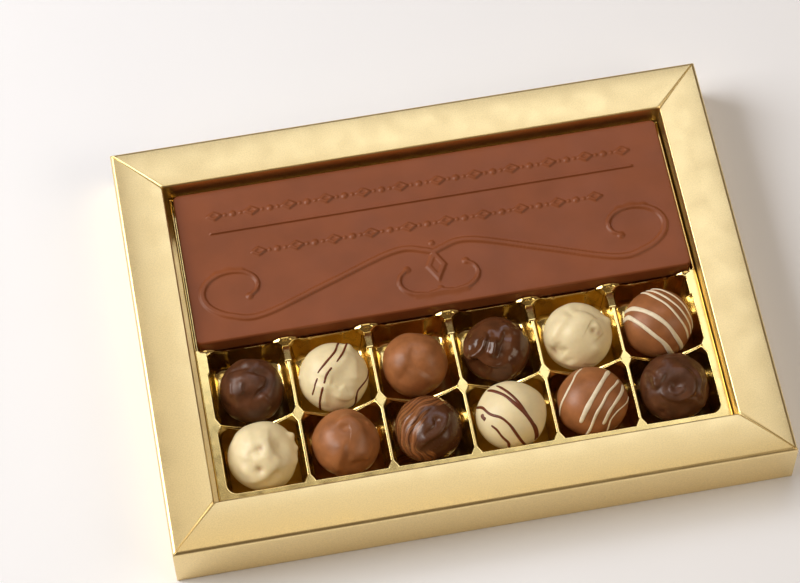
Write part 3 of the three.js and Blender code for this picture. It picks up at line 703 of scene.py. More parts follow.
def tray_grids(sizes):
    """All cells, the flange and shelf round them as height fields, and the skirt below their edge."""
    low, high = TRAY_LOW, TRAY_HIGH
    left, right = ridge_x(0, sizes.pitch), ridge_x(COLUMNS, sizes.pitch)
    x0, y0 = BAR_LOW[:2] - POCKET_GAP
    x1, y1 = BAR_HIGH[:2] + POCKET_GAP
    lines = np.array(EDGE_LINES)
    spans = [cell_columns(column, sizes.pitch)[:-1] for column in range(COLUMNS)]
    outer_left = np.concatenate([low[0] + lines, [low[0] + 0.95, x0 - 0.08, x0, LEFT_LINE]])
    outer_right = np.concatenate([[RIGHT_LINE, x1, x1 + 0.08, high[0] - 0.95], high[0] - lines[::-1]])
    xs = np.concatenate([outer_left, *spans, [right], outer_right])
    far_line = FAR_CELL_Y + WALL_HALF
    near_rows = np.concatenate([low[1] + lines, [low[1] + 1.6, NEAR_CELL_Y]])
    cell_rows = np.concatenate([cell_rows_near()[:-1], cell_rows_far()])
    bay_rows = far_line + (y0 - far_line) * np.array([0, 0.35, 0.6, 0.75, 0.87, 0.95, 1])
    far_rows = np.concatenate([bay_rows, [y0 + 0.06, 2, 35, 67, y1, y1 + 0.08], high[1] - lines[::-1]])

    def field(columns, rows):
        """A height field over those columns and rows, rounded off at the tray's edge and at the pocket."""
        x, y = np.meshgrid(columns, rows)
        behind = y > y0 + 0.01
        beside = (x < x0 - 0.01) | (x > x1 + 0.01) | (y > y1 + 0.01)
        z = np.where(behind, np.where(beside, high[2], sizes.shelf_z), tray_top(x, y, sizes))
        edge = np.minimum(np.minimum(x - low[0], high[0] - x), np.minimum(y - low[1], high[1] - y))
        rim = np.minimum(np.minimum(np.abs(x - x0), np.abs(x - x1)), np.abs(y - y1))
        drop = EDGE_DROP * (1 - np.clip(edge / 0.5, 0, 1)) ** 2
        # The stops and the sill round over towards the bar too.
        back = np.clip((y - far_line) / (y0 - far_line), 0, 1)
        drop = drop + np.where(behind, 0, 0.25 * (1 - np.sqrt(1 - back ** 6)))
        drop = drop + np.where(behind & beside, 0.5 * (1 - np.clip(rim / 0.5, 0, 1)) ** 2, 0)
        return np.stack([x, y, z - drop], -1)

    grids = [(cell_rings(column, row, sizes), True) for column in range(COLUMNS) for row in range(2)]
    beside_cells = np.append(outer_left, left), np.append(right, outer_right)
    for columns, rows in ((xs, near_rows), *((side, cell_rows) for side in beside_cells), (xs, far_rows)):
        grids.append((field(columns, rows), False))
    x, y = perimeter(xs, np.concatenate([near_rows[:-1], cell_rows, far_rows[1:]]))
    skirt = [np.stack([x, y, np.full(len(x), up)], -1) for up in (high[2] - EDGE_DROP, low[2])]
    middle = (low + high) / 2
    skirt.append(np.broadcast_to([middle[0], middle[1], low[2]], skirt[0].shape))
    grids.append((np.stack(skirt), True))
    return grids


class PRALINES_OT_tray(bpy.types.Operator):
    """Make the thermoformed gold tray"""

    bl_idname = "pralines.tray"
    bl_label = "Tray"

    def execute(self, context):
        grids = tray_grids(lengths(context.scene.pralines_tray))
        make_piece("tray_skin", grids, material_of("tray"), "moulded_tray", 60)
        return {"FINISHED"}


# Bar: where its ornament lies and how large its parts are. A row of lozenges is its Y and their number.
RULE_Y = 48.7
RULE_HALF = 87.4
ROWS_OF_LOZENGES = [(56.4, 12), (37.2, 10)]
LOZENGE_PITCH = 15.4
SCROLL_Y = 17.7
SCROLL_FROM = 12
SCROLL_SPAN = 64
SCROLL_FLAT = 0.7
SCROLL_REACH = 2.0
LOZENGE = (3.6, 2.3)
STUD = 1.3
SIDE_STUD = 0.75
SIDE_STUD_ASIDE = 3.2
CENTRE_LOZENGE = (4.5, 8)
CENTRE_STUD = 1.2
CENTRE_STUD_AWAY = 10.5
SCROLL_STUD = 1.5


def double_curl(reach, half_steps):
    """An S-shaped double curl from (0, 0) to (1, 0).

    Its heading is pi / 2 times the square of the way from its middle, so that it tightens evenly to both
    ends, and its stations are spaced so that every step turns by the same angle.
    """
    count = np.arange(-half_steps, half_steps + 1)
    station = np.sign(count) * reach * np.sqrt(np.abs(count) / half_steps)
    heading = math.pi / 2 * ((station[1:] + station[:-1]) / 2) ** 2
    move = np.stack([np.cos(heading), np.sin(heading)], -1) * np.diff(station)[:, None]
    points = np.concatenate([[[0, 0]], np.cumsum(move, 0)])
    end = points[-1]
    span = np.hypot(*end)
    turn = np.array([[end[0], -end[1]], [end[1], end[0]]]) / span
    return points @ turn / span


def nearest_on(curve, x, y):
    """Distance from each point to a dense curve, and where on it, from 0 to 1."""
    best = np.full(x.shape, 1e9)
    where = np.zeros(x.shape)
    for k, (cx, cy) in enumerate(curve):
        distance = (x - cx) ** 2 + (y - cy) ** 2
        closer = distance < best
        best = np.where(closer, distance, best)
        where = np.where(closer, k / (len(curve) - 1), where)
    return np.sqrt(best), where


def bar_relief(x, y, sizes):
    """Height of the ornament: a rule, two rows of lozenges with studs, and a mirrored pair of scrolls.

    A lozenge is a step on |x| / half width + |y| / half height, and a stud is a half ball. Where two meet,
    the higher one counts.
    """
    rule_end = smooth_step(RULE_HALF + 0.4, RULE_HALF - 0.4, np.abs(x))
    height = smooth_step(0.75, 0.35, np.abs(y - RULE_Y)) * rule_end

    def lozenge(cx, cy, half_x, half_y):
        reach = np.abs(x - cx) / half_x + np.abs(y - cy) / half_y
        return smooth_step(1.05, 0.8, reach) - 0.5 * smooth_step(0.55, 0.35, reach)

    def stud(cx, cy, radius):
        return 0.8 * np.sqrt(np.clip(1 - ((x - cx) ** 2 + (y - cy) ** 2) / radius ** 2, 0, 1))

    for row_y, count in ROWS_OF_LOZENGES:
        near = np.abs(y - row_y) < 4
        column = np.clip(np.round(x / LOZENGE_PITCH + (count - 1) / 2), 0, count - 1)
        cx = (column - (count - 1) / 2) * LOZENGE_PITCH
        height = np.maximum(height, near * lozenge(cx, row_y, *LOZENGE))
        gap = np.clip(np.floor(x / LOZENGE_PITCH + (count - 1) / 2), 0, count - 2)
        between = (gap + 0.5 - (count - 1) / 2) * LOZENGE_PITCH
        height = np.maximum(height, near * stud(between, row_y, STUD))
        for offset in (-SIDE_STUD_ASIDE, SIDE_STUD_ASIDE):
            height = np.maximum(height, near * 0.7 * stud(between + offset, row_y, SIDE_STUD))
    curl = double_curl(SCROLL_REACH, 12) * [SCROLL_SPAN, SCROLL_SPAN * SCROLL_FLAT] + [SCROLL_FROM, SCROLL_Y]
    curl = smooth_curve(curl, 520)
    distance, where = nearest_on(curl, np.abs(x), y)
    half = sizes.scroll_width / 2 * (1.15 - 0.6 * np.abs(2 * where - 1) ** 2)
    height = np.maximum(height, smooth_step(1.2, 0.6, distance / half))
    for end in (curl[0], curl[-1]):
        height = np.maximum(height, stud(np.sign(x) * end[0], end[1], SCROLL_STUD))
    height = np.maximum(height, lozenge(0, SCROLL_Y, *CENTRE_LOZENGE))
    for away in (-CENTRE_STUD_AWAY, CENTRE_STUD_AWAY):
        height = np.maximum(height, stud(0, SCROLL_Y + away, CENTRE_STUD))
    return sizes.relief * height


def bar_grids(sizes):
    """The bar: a fine field for its top, then its rim carried round it: bevel, side, underside."""
    top, edge, corner = sizes.top, sizes.edge, sizes.corner
    inner = corner + edge
    x0, y0, bottom = BAR_LOW + [inner, inner, 0]
    x1, y1 = BAR_HIGH[:2] - inner
    xs = np.linspace(x0, x1, 521)
    # The rows lie close where the ornament is: each band is (from, to, how many rows).
    bands = [(y0, 5.5, 3), (5.5, 29.8, 70), (29.8, 34.3, 4), (34.3, 40.1, 17), (40.1, 47.7, 3),
             (47.7, 49.7, 12), (49.7, 53.5, 3), (53.5, 59.3, 17), (59.3, y1, 4)]
    ys = np.concatenate([np.linspace(a, b, n, endpoint=False) for a, b, n in bands] + [[y1]])
    x, y = np.meshgrid(xs, ys)
    field = np.stack([x, y, top + bar_relief(x, y, sizes)], -1)
    # The rim's base points and outward directions: each corner point is repeated to fan out.
    fan = np.linspace(0, math.pi / 2, 7)
    base, out = [], []
    sides = [(xs, y0, -90), (x1, ys, 0), (xs[::-1], y1, 90), (x0, ys[::-1], 180)]
    for side_x, side_y, angle in sides:
        side_x, side_y = np.broadcast_arrays(side_x, side_y)
        middle = np.radians(angle)
        spread = np.concatenate([np.full(len(side_x), middle), middle + fan[1:]])
        base.append(np.stack([np.append(side_x, [side_x[-1]] * 6), np.append(side_y, [side_y[-1]] * 6)], -1))
        out.append(np.stack([np.cos(spread), np.sin(spread)], -1))
    base, out = np.concatenate(base), np.concatenate(out)
    bend = np.linspace(0, 1, 7)
    profile = [(0, top)] + [(corner + edge * b, top - edge * b ** 2.2) for b in bend]
    profile += [(inner, up) for up in np.linspace(top - edge - 0.5, bottom + 0.7, 6)]
    profile += [(inner - 0.25, bottom + 0.1), (inner - 0.7, bottom), (0, bottom)]
    rim = [np.column_stack([base + out * reach, np.full(len(base), up)]) for reach, up in profile]
    rim = np.stack(rim)
    centre = np.broadcast_to([(x0 + x1) / 2, (y0 + y1) / 2, bottom], rim[0].shape)
    return [(field, False), (np.concatenate([rim, centre[None]]), True)]


class PRALINES_OT_bar(bpy.types.Operator):
    """Make the moulded chocolate bar"""

    bl_idname = "pralines.bar"
    bl_label = "Bar"

    def execute(self, context):
        grids = bar_grids(lengths(context.scene.pralines_bar))
        make_piece("bar_skin", grids, material_of("bar"), "chocolate_bar")
        return {"FINISHED"}


# Pralines. Folds are (height, width, curve), lumps are (height, width, place), and stripes and lines of
# painted shade are (width, curve). A place is in hundredths of the radius to the right of and above the
# middle, as the viewer sees it.
PRALINES = [
    {"coat": "dark", "radius": 12.8, "rough": 1.8, "folds": [
        (-1.3, 0.9, [(-16, 63), (20, 55), (50, 40), (43, 8), (20, -8), (-8, -39)]),
        (0.7, 1.4, [(-27, 82), (12, 88), (43, 70)]),
        (0.45, 0.9, [(-55, 42), (-62, 10), (-58, -12)]),
        (0.45, 0.9, [(-20, 40), (-28, 12), (-22, -5)]),
        (-0.4, 0.8, [(-70, 62), (-30, 72), (10, 70)]),
        (0.5, 1.0, [(25, -5), (42, -30), (50, -60)]),
    ], "lumps": [(0.8, 6.5, (-20, 27)), (-1.2, 3.5, (-80, -45)), (0.6, 3, (70, 30)), (0.6, 4, (0, -65))]},
    {"coat": "white", "radius": 13.9, "rough": 0.7, "folds": [
        (0.5, 1.8, [(47, 82), (28, 46), (-11, 21), (-25, -4)]),
        (0.5, 1.3, [(60, 67), (63, 21), (60, -21)]),
        (0.7, 1.2, [(-7, -35), (18, -56), (46, -58), (60, -35)]),
        (0.6, 1.5, [(-25, -7), (-30, -42), (-23, -85)]),
        (-0.5, 0.9, [(-14, -11), (7, -18), (21, -35)]),
    ], "lumps": [(1.6, 2.2, (46, 84)), (-0.9, 4.5, (28, 5)), (0.8, 0.9, (-97, 7))],
        "line": "dark", "stripes": [
        (0.62, [(17, 95), (7, 74), (-19, 46), (-44, 18)]),
        (0.5, [(-46, 5), (-52, -10), (-56, -25), (-63, -45)]),
        (0.55, [(40, 89), (29, 69), (11, 46)]),
        (0.6, [(-3, 33), (-20, 11), (-28, -12)]),
        (0.6, [(-30, -20), (-40, -53), (-44, -84)]),
        (0.7, [(95, -4), (79, -25), (63, -49), (57, -78)]),
    ]},
    {"coat": "milk", "radius": 13.1, "rough": 0.8, "folds": [
        (-0.8, 2.0, [(19, 73), (-6, 46), (-8, 19), (8, -8), (42, -31), (69, -46)]),
        (-0.5, 2.0, [(-8, 8), (-31, -31), (-50, -57)]),
    ], "lumps": [(0.5, 6, (-53, 23)), (0.6, 5.5, (46, 34)), (0.4, 5, (0, -61)), (-0.8, 3, (50, -80))]},
    {"coat": "glossy", "radius": 13.4, "rough": 0.5, "folds": [
        (0.8, 1.2, [(-90, 37), (-92, 4), (-84, -37)]),
        (1.3, 1.1, [(-70, 48), (-77, 15), (-63, -15), (-40, 4), (-31, 37), (-48, 55)]),
        (1.5, 1.6, [(-4, 44), (-7, 7), (-15, -22)]),
        (-0.9, 1.2, [(26, 70), (18, 22), (4, -26)]),
        (1.4, 1.1, [(-86, -44), (-72, -27), (-51, -20), (-33, -35), (0, -44), (40, -42)]),
        (1.1, 1.2, [(7, 88), (40, 66), (81, 51)]),
        (0.4, 0.9, [(26, -11), (44, -40), (44, -77)]),
        (-0.5, 1.0, [(-18, 66), (-24, 22), (-26, -18)]),
    ], "lumps": [(-1.6, 4.2, (-44, -58)), (-0.9, 4, (4, -77)), (0.5, 4, (60, 0))]},
    {"coat": "white", "radius": 13.7, "rough": 0.8, "folds": [
        (1.0, 1.7, [(-20, 66), (-36, 52), (-52, 30), (-66, -4), (-78, -45)]),
        (0.5, 2.0, [(-20, 66), (10, 60), (35, 62), (50, 45)]),
        (-0.6, 1.9, [(-62, -20), (-45, -40), (-25, -55)]),
        (-0.7, 1.5, [(-29, 76), (4, 86), (40, 76), (61, 54)]),
        (0.8, 1.2, [(40, 54), (61, 29), (74, 9)]),
        (-0.7, 1.3, [(-58, -29), (-36, -65), (-7, -86)]),
    ], "lumps": [(1.3, 2.0, (80, 56)), (-1.1, 1.5, (45, 27)), (0.8, 5.0, (-5, 20)),
                 (-1.4, 2.6, (-68, -52)), (-0.9, 2.0, (62, 20)), (0.8, 3.2, (62, -30))],
        # Lines of painted shade near the lower edge of the coat, browner where shade falls.
        "thin": [(1.3, [(-72, -62), (-35, -86), (10, -92)]), (0.8, [(30, -78), (60, -74)])]},
    {"coat": "milk", "radius": 13.9, "rough": 0.6, "line": "cream", "stripes": [
        (1.3, [(-92, 24), (-75, 34), (-43, 34), (-7, 23), (29, 2), (57, -27), (77, -59)]),
        (1.3, [(-95, -4), (-82, 6), (-50, -5), (-7, -30), (29, -54), (50, -80)]),
        (0.75, [(-45, 84), (-21, 80), (18, 61), (54, 30), (86, -11)]),
        (0.7, [(-25, 92), (4, 86), (36, 68), (71, 38), (92, 7)]),
        (0.7, [(-8, 98), (20, 93), (47, 80), (78, 50), (94, 24)]),
    ]},
    {"coat": "white", "radius": 13.9, "rough": 1.0, "folds": [
        (0.9, 1.4, [(21, 95), (16, 60), (18, 30), (35, -5), (60, -24), (85, -30)]),
        (0.5, 1.8, [(-85, 20), (-50, 10), (-20, 2), (10, 5), (30, 0)]),
        (0.6, 1.5, [(-60, -62), (-30, -62), (4, -50), (28, -30), (50, -30)]),
        (0.5, 1.7, [(-90, 40), (-60, 50), (-35, 46), (-7, 50)]),
        (-0.5, 1.2, [(-45, 10), (-20, 20), (-4, 28)]),
        (-0.4, 1.0, [(4, -85), (21, -53), (42, -39)]),
    ], "lumps": [(1.6, 1.7, (84, 50)), (-1.4, 3.6, (52, 25)), (-0.9, 1.6, (-4, 28)),
                 (-1.3, 1.7, (-14, -33)), (0.8, 2.2, (90, -20)), (0.9, 1.5, (95, 15)),
                 (0.8, 3.0, (-55, -30)), (0.7, 3.0, (-40, 75))]},
    {"coat": "milk", "radius": 13.3, "rough": 0.7, "folds": [
        (0.8, 2.2, [(-15, 44), (-11, 63), (11, 74), (37, 56), (52, 22), (75, -25)]),
        (0.9, 2.1, [(-5, 25), (-13, -19), (-26, -59), (-30, -92)]),
        (0.6, 1.9, [(0, -44), (37, -46), (74, -41)]),
    ], "lumps": [(-0.8, 2, (-4, 48)), (-1.5, 4.2, (30, -68)), (0.4, 4, (-48, 30)),
                 (0.5, 0.8, (67, 56)), (0.5, 1.0, (-29, -94))]},
    {"coat": "marbled", "radius": 13.3, "rough": 0.8, "folds": [
        (0.6, 1.2, [(26, 89), (-26, 63), (-70, 15), (-74, -37), (-60, -74)]),
        (-0.6, 1.1, [(37, 78), (-7, 48), (-44, 7), (-52, -37), (-44, -74)]),
        (0.8, 1.2, [(44, 70), (52, 33), (30, -7), (-7, -33), (-37, -67)]),
        (-0.5, 0.9, [(22, 44), (19, 11), (-15, -19)]),
    ], "lumps": [(0.5, 3, (60, -30)), (-0.6, 2, (20, 30))]},
    {"coat": "white", "radius": 14.0, "rough": 0.5, "lumps": [(-0.5, 3, (-80, 45))],
        "line": "dark", "stripes": [
        (0.8, [(-28, 78), (3, 56), (28, 28), (52, -2), (72, -28), (78, -45)]),
        (1.0, [(-54, 69), (-21, 59), (7, 38), (38, 12), (62, -17), (73, -50)]),
        (0.8, [(-95, 17), (-80, 18), (-56, 3), (-26, -4), (-3, -21), (14, -42),
               (40, -76)]),
        (0.8, [(-52, -28), (-36, -40), (-21, -59), (-3, -76), (0, -87)]),
        (1.2, [(-79, 0), (-75, -8), (-68, -14)]),
    ]},
    {"coat": "milk", "radius": 14.0, "rough": 0.5, "line": "cream", "stripes": [
        (0.75, [(-54, 76), (-64, 49), (-78, 10), (-87, -28)]),
        (1.3, [(32, 87), (17, 56), (-3, 10), (-17, -28), (-27, -63)]),
        (0.8, [(62, 62), (42, 35), (28, 0), (14, -35), (0, -83)]),
        (1.1, [(80, 42), (66, 10), (52, -21), (38, -63)]),
        (0.5, [(95, 10), (76, -14), (59, -45), (49, -78)]),
    ]},
    {"coat": "dark", "radius": 13.8, "rough": 3.4, "folds": [
        (0.9, 1.3, [(-25, 50), (11, 64), (46, 43), (54, 0), (21, -29), (-25, -21), (-36, 7)]),
        (0.6, 1.2, [(-35, 60), (-55, 30), (-50, -10)]),
        (0.7, 0.9, [(20, 25), (28, 5), (10, -12), (-10, -2), (-8, 18)]),
        (0.8, 1.0, [(-95, 30), (-65, 28), (-42, 12)]),
        (0.7, 1.0, [(-30, 50), (-40, 20), (-55, -20)]),
        (0.8, 0.9, [(50, 65), (70, 35), (72, 5), (85, -20)]),
        (0.6, 0.9, [(35, -30), (60, -20), (75, -40)]),
    ], "lumps": [(-1.8, 3.4, (5, 9)), (1.0, 1.8, (-39, 75)), (0.8, 2.2, (57, 61)),
                 (0.8, 2, (84, 34)), (0.9, 2.5, (86, -29)), (-0.8, 3, (-20, -75))]},
]


def onward(before, last, angle):
    """The direction that lies that angle past the last one, straight on from the one before."""
    ahead = unit(last - before * (before @ last))
    return last * math.cos(angle) + unit(ahead - last * (ahead @ last)) * math.sin(angle)


class Coat:
    """The surface of one praline: a direction from its middle gives a point."""

    def __init__(self, number, spec, pitch, uneven, boost):
        self.spec = spec
        self.radius = spec["radius"]
        column, row = number % COLUMNS, number // COLUMNS
        middle_x = (ridge_x(column, pitch) + ridge_x(column + 1, pitch)) / 2
        self.middle = np.array([middle_x, (FAR_ROW_Y, NEAR_ROW_Y)[row], PRALINE_Z])
        self.towards = unit(VIEWER - self.middle)
        self.right = unit(np.cross(UP, self.towards))
        self.above = np.cross(self.towards, self.right)
        draw = np.random.default_rng(100 + number)
        self.boost = boost
        self.random = []
        for rough, (count, spread, share) in zip((1, spec["rough"], spec["rough"]), SOFTNESS):
            centres = unit(draw.normal(size=(count, 3)))
            self.random.append((centres, spread, uneven * share * rough * draw.uniform(-1, 1, count)))

    def directions(self, places):
        """Directions of places given as seen by the viewer."""
        ab = np.asarray(places, float).reshape(-1, 2) / 100
        depth = np.sqrt(np.clip(1 - (ab ** 2).sum(1), 0, None))
        return unit(ab[:, :1] * self.right + ab[:, 1:] * self.above + depth[:, None] * self.towards)

    def curve(self, places, count):
        """A smooth curve of directions through places."""
        return unit(smooth_curve(self.directions(places), count))

    def away(self, directions, line):
        """Distance in millimetres from each direction to a curve, its side (1 or -1) and the way along."""
        close = directions @ line.T
        nearest = close.argmax(1)
        distance = np.sqrt(np.clip(2 - 2 * close.max(1), 0, None)) * self.radius
        if len(line) == 1:
            return distance, np.ones(len(distance)), np.full(len(distance), 0.5)
        along = np.gradient(line, axis=0)[nearest]
        side = np.cross(line[nearest], along)
        return distance, np.sign((side * (directions - line[nearest])).sum(1)), nearest / (len(line) - 1)

    def back(self, points):
        """Directions of points on the coat, with its lower height undone."""
        return unit((points - self.middle) * [1, 1, self.radius / REACH_UP])

    def relief(self, directions):
        """Sum of folds, lumps and random softness, each a height times exp(-(distance / width) squared).

        Ridges and grooves are steep where they face away from the light, and they fade out at both ends.
        """
        total = np.zeros(len(directions))
        soft = SOFT_WHITE if self.spec["coat"] == "white" else 1
        for height, width, places in self.spec.get("folds", []):
            line = self.curve(places, FOLD_STEPS)
            distance, side, way = self.away(directions, line)
            run = line[-1] - line[0]
            shadow = np.sign(np.cross(line[len(line) // 2], run) @ LIGHT_SIDE)
            steep = np.where(side * shadow * height < 0, FOLD_STEEP, FOLD_GENTLE)
            fade = smooth_step(0, FOLD_FADE, way) * smooth_step(1, 1 - FOLD_FADE, way)
            total += self.boost * height * fade * np.exp(-(distance / (width * soft * steep)) ** 2)
        for height, width, place in self.spec.get("lumps", []):
            distance, _, _ = self.away(directions, self.directions(place))
            total += height * np.exp(-(distance / width) ** 2)
        for centres, spread, heights in self.random:
            far = np.sqrt(np.clip(2 - 2 * directions @ centres.T, 0, None)) * self.radius
            total += (heights * np.exp(-(far / spread) ** 2)).sum(1)
        return total

    def surface(self, directions):
        """Points of the coat: a ball with relief, lower than it is wide and flattened below."""
        shape = directions.shape
        flat = directions.reshape(-1, 3)
        reach = self.radius + self.relief(flat)
        up = flat[:, 2] * reach * REACH_UP / self.radius
        down = np.maximum(flat[:, 2] * FOOT_FACTOR, -1) * REACH_DOWN
        height = np.where(flat[:, 2] > 0, up, down)
        points = np.stack([flat[:, 0] * reach, flat[:, 1] * reach, height], -1) + self.middle
        return points.reshape(shape)

    def ball(self, around, bands):
        """The whole coat as rings from its top to its foot."""
        turn = np.linspace(0, 2 * math.pi, around, endpoint=False)
        tilt = np.linspace(0, math.pi, bands + 1)[:, None]
        level = np.cos(tilt) + 0 * turn
        return self.surface(np.stack([np.sin(tilt) * np.cos(turn), np.sin(tilt) * np.sin(turn), level], -1))

    def drizzle(self, width, places, rise, draw):
        """One line of drizzle: an oval section carried along a curve on the coat, with round ends.

        Its width swells and shrinks slowly, by a sum of two sines with drawn phases. A line that ends near
        the edge, as the viewer sees it, runs on round the coat.
        """
        line = self.directions(places)
        ends = np.hypot(*np.array([places[0], places[-1]]).T / 100) > NEAR_EDGE
        if ends[0]:
            line = np.concatenate([[onward(line[1], line[0], RUN_ON)], line])
        if ends[1]:
            line = np.concatenate([line, [onward(line[-2], line[-1], RUN_ON)]])
        line = unit(smooth_curve(line, LINE_STEPS))
        part = np.linspace(0, 1, LINE_STEPS)
        along = unit(np.gradient(line, axis=0))
        side = unit(np.cross(line, along))
        phase = draw.uniform(0, 2 * math.pi, 2)
        swell = 1 + 0.1 * np.sin(9 * part + phase[0]) + 0.06 * np.sin(23 * part + phase[1])
        taper = np.clip(1 - np.abs(2 * part - 1) ** 14, 0, 1) ** 0.5
        turn = np.linspace(0, 2 * math.pi, LINE_SIDES, endpoint=False)
        across = np.cos(turn) * (width / 2 * swell * taper)[:, None] * LINE_SPREAD
        above, below = rise * min(1, 0.55 + width / 3), LINE_SUNK
        lift = np.where(np.sin(turn) > 0, np.sin(turn) * above, np.sin(turn) * below) * taper[:, None]
        spread = unit(line[:, None] + side[:, None] * (across / self.radius)[..., None])
        return self.surface(spread) + spread * lift[..., None]


def marble_bands(coat, points):
    """How much milk chocolate shows at each point: bands along the combed arcs on the left and below.

    It is a sum of sines of the distance from one arc, bent by slower sines across the coat. It shows on the
    left, below and at the top, and fades towards the right.
    """
    directions = coat.back(points)
    arc = coat.curve([(50, 84), (10, 68), (-35, 35), (-62, -5), (-62, -45), (-40, -82)], 120)
    distance, side, way = coat.away(directions, arc)
    signed = distance * side
    a = directions @ coat.right
    b = directions @ coat.above
    bent = signed + 0.8 * np.sin(a * 6 + b * 4) + 0.35 * np.sin(way * 16) + 0.25 * np.sin(13 * a - 11 * b)
    wave = 0.45 * np.sin(bent * 2.7) + 0.4 * np.sin(bent * 7.1 + 3 * b)
    wave = wave + 0.25 * np.sin(bent * 1.1 + 5 * a) + 0.3
    left = smooth_step(0.02, -0.42, a - 0.3 * b)
    below = smooth_step(-0.45, -0.75, b) * smooth_step(0.35, 0.1, a)
    upper = smooth_step(0.62, 0.82, b) * smooth_step(0.9, 0.4, a)
    shown = np.clip(left + below + upper, 0, 1)
    return np.clip(0.5 + wave * 0.5, 0, 1) * shown


def thin_spots(coat, points):
    """Painted shade at each point: strongest in the coat's narrow deep hollows and along the listed lines."""
    directions = coat.back(points)
    total = np.zeros(len(points))
    for height, width, place in coat.spec.get("lumps", []):
        if height < SHADE_HOLLOW_BELOW and width < SHADE_HOLLOW_NARROW:
            distance, _, _ = coat.away(directions, coat.directions(place))
            total += 0.55 * np.exp(-(distance / (0.62 * width)) ** 2)
    for width, places in coat.spec.get("thin", []):
        distance, _, _ = coat.away(directions, coat.curve(places, 60))
        total += 0.45 * np.exp(-(distance / width) ** 2)
    return np.clip(total, 0, SHADE_MOST)


# Point attributes: the combed marbling, and the painted shade of white coats.
PATTERNS = {"marbled": ("marble", marble_bands), "white": ("thin", thin_spots)}


def coats(context):
    """The twelve coats with their numbers counted from 1."""
    scene = context.scene
    pitch = lengths(scene.pralines_tray).pitch
    uneven = lengths(scene.pralines_pieces).uneven
    boost = scene.pralines_pieces.boost
    return [(number + 1, Coat(number, spec, pitch, uneven, boost)) for number, spec in enumerate(PRALINES)]


class PRALINES_OT_coats(bpy.types.Operator):
    """Make the twelve pralines"""

    bl_idname = "pralines.coats"
    bl_label = "Pralines"

    def execute(self, context):
        sizes = context.scene.pralines_pieces
        for number, coat in coats(context):
            kind = coat.spec["coat"]
            name = f"praline_{number:02d}_coat"
            grids = [(coat.ball(sizes.around, sizes.bands), True)]
            piece = make_piece(name, grids, material_of(kind), f"praline_{number:02d}", 180)
            if kind in PATTERNS:
                label, pattern = PATTERNS[kind]
                mesh = piece.data
                points = np.empty(len(mesh.vertices) * 3)
                mesh.vertices.foreach_get("co", points)
                values = mesh.attributes.new(label, "FLOAT", "POINT")
                values.data.foreach_set("value", pattern(coat, points.reshape(-1, 3) / MM))
        return {"FINISHED"}


class PRALINES_OT_drizzle(bpy.types.Operator):
    """Make the lines of drizzle on the pralines that have them"""

    bl_idname = "pralines.drizzle"
    bl_label = "Drizzle"

    def execute(self, context):
        rise = lengths(context.scene.pralines_pieces).drizzle_rise
        for number, coat in coats(context):
            line = coat.spec.get("line")
            if line is None:
                continue
            draw = np.random.default_rng(200 + number)
            stripes = coat.spec["stripes"]
            grids = [(coat.drizzle(width, places, rise, draw), True) for width, places in stripes]
            name = f"praline_{number:02d}_drizzle"
            make_piece(name, grids, material_of(line + "_line"), f"praline_{number:02d}", 180)
        return {"FINISHED"}


# Stage: floor, light and camera. A light is its place, its size, its radiance and its tone.
FLOOR_REACH = 3.0
FLOOR_Z = -0.0002
WARM_DARK = (1, 0.68, 0.4)
WORLD_STRENGTH = 0.12
LIGHTS = {
    "overhead_panel": ((0.24, 0.88, 1.4), (1.04, 0.56), 1.66, (0.94, 1, 1.15)),
    "top_panel": ((0.05, 0.22, 1.6), (0.8, 0.6), 1.0, (1, 0.88, 0.66)),
    "left_window": ((-1.15, 0.3, 0.92), (1.0, 1.0), 7.2, (1, 0.985, 0.96)),
    "front_fill": ((1.0, -0.65, 1.0), (0.9, 0.7), 2.9, (1, 0.87, 0.68)),
}
CAMERA_PLACE = (-0.1063, -0.53473, 1.05763)
CAMERA_LENS = 131.93
CAMERA_DOWN = 62.04
CAMERA_ASIDE = 9.385
CAMERA_ROLL = 1.03


def add_panel(name, place, extent, radiance, tone):
    """A soft square light at place, facing the box, with that radiance over its whole face."""
    light = bpy.data.lights.new(name, "AREA")
    light.shape = "RECTANGLE"
    light.size, light.size_y = extent
    light.energy = radiance * math.pi * extent[0] * extent[1]
    light.color = tone
    panel = bpy.data.objects.new(name, light)
    panel.location = place
    panel.rotation_euler = (-Vector(place)).to_track_quat("-Z", "Y").to_euler()
    bpy.context.scene.collection.objects.link(panel)


def camera_matrix():
    """The camera looks down and a little aside; its right side is rolled a little towards the ground."""
    down, aside, roll = (math.radians(value) for value in (CAMERA_DOWN, CAMERA_ASIDE, CAMERA_ROLL))
    forward = Vector((math.sin(aside) * math.cos(down), math.cos(aside) * math.cos(down), -math.sin(down)))
    level = Vector((math.cos(aside), -math.sin(aside), 0))
    upright = level.cross(forward)
    right = level * math.cos(roll) - upright * math.sin(roll)
    upward = right.cross(forward)
    turned = Matrix((right, upward, -forward)).transposed().to_4x4()
    return Matrix.Translation(CAMERA_PLACE) @ turned


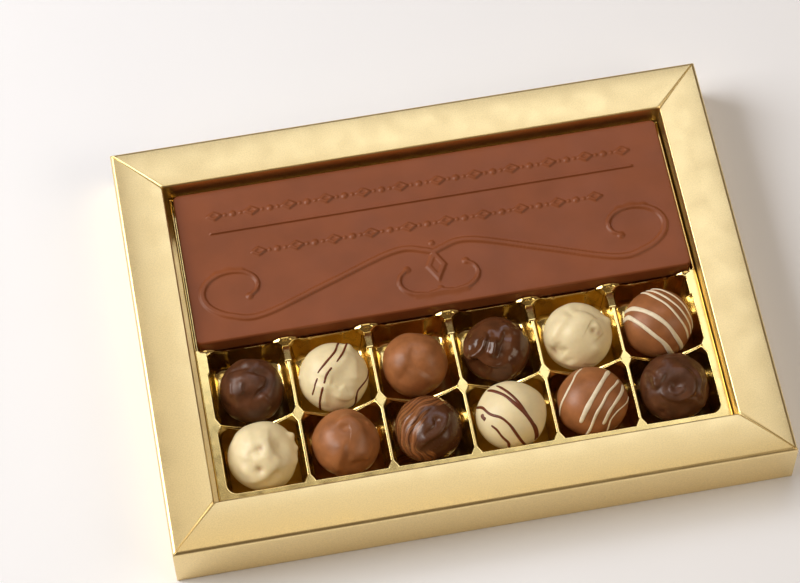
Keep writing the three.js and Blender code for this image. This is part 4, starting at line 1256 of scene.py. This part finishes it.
class PRALINES_OT_stage(bpy.types.Operator):
    """Make the floor, the lights and the camera"""

    bl_idname = "pralines.stage"
    bl_label = "Stage"

    def execute(self, context):
        scene = context.scene
        ground = bpy.data.meshes.new("floor")
        sides = ((-1, -1), (1, -1), (1, 1), (-1, 1))
        points = [(x * FLOOR_REACH, y * FLOOR_REACH, FLOOR_Z) for x, y in sides]
        ground.from_pydata(points, [], [(0, 1, 2, 3)])
        ground.materials.append(material_of("floor"))
        floor = bpy.data.objects.new("floor", ground)
        scene.collection.objects.link(floor)
        world = bpy.data.worlds.new("studio")
        world.use_nodes = True
        background = world.node_tree.nodes["Background"]
        background.inputs["Color"].default_value = (*WARM_DARK, 1)
        background.inputs["Strength"].default_value = WORLD_STRENGTH
        scene.world = world
        for name, values in LIGHTS.items():
            add_panel(name, *values)
        camera_data = bpy.data.cameras.new("camera")
        camera_data.lens = CAMERA_LENS
        camera_data.sensor_width = 36
        camera_data.sensor_fit = "HORIZONTAL"
        camera_data.clip_end = 20
        camera = bpy.data.objects.new("camera", camera_data)
        camera.matrix_world = camera_matrix()
        scene.collection.objects.link(camera)
        scene.camera = camera
        scene.view_settings.view_transform = "Standard"
        return {"FINISHED"}


class PRALINES_PT_panel(bpy.types.Panel):
    """Lists the steps and their sizes"""

    bl_idname = "PRALINES_PT_panel"
    bl_label = "Window box of pralines"
    bl_space_type = "VIEW_3D"
    bl_region_type = "UI"
    bl_category = "Pralines"

    def draw(self, context):
        for operator in OPERATORS:
            self.layout.operator(operator.bl_idname)
        for name in GROUPS:
            group = getattr(context.scene, name)
            box = self.layout.box()
            for entry in group.__annotations__:
                box.prop(group, entry)


GROUPS = {
    "pralines_carton": CartonSizes,
    "pralines_tray": TraySizes,
    "pralines_bar": BarSizes,
    "pralines_pieces": PralineSizes,
    "pralines_finishes": Finishes,
}
OPERATORS = [PRALINES_OT_stage, PRALINES_OT_carton, PRALINES_OT_tray, PRALINES_OT_bar, PRALINES_OT_coats,
             PRALINES_OT_drizzle]


def register():
    for group in GROUPS.values():
        bpy.utils.register_class(group)
    for name, group in GROUPS.items():
        setattr(bpy.types.Scene, name, PointerProperty(type=group))
    for entry in [*OPERATORS, PRALINES_PT_panel]:
        bpy.utils.register_class(entry)


def unregister():
    for entry in [PRALINES_PT_panel, *reversed(OPERATORS)]:
        bpy.utils.unregister_class(entry)
    for name in GROUPS:
        delattr(bpy.types.Scene, name)
    for group in GROUPS.values():
        bpy.utils.unregister_class(group)


def main():
    """Builds every piece."""
    register()
    bpy.ops.pralines.stage()
    bpy.ops.pralines.carton()
    bpy.ops.pralines.tray()
    bpy.ops.pralines.bar()
    bpy.ops.pralines.coats()
    bpy.ops.pralines.drizzle()


if __name__ == "__main__":
    main()
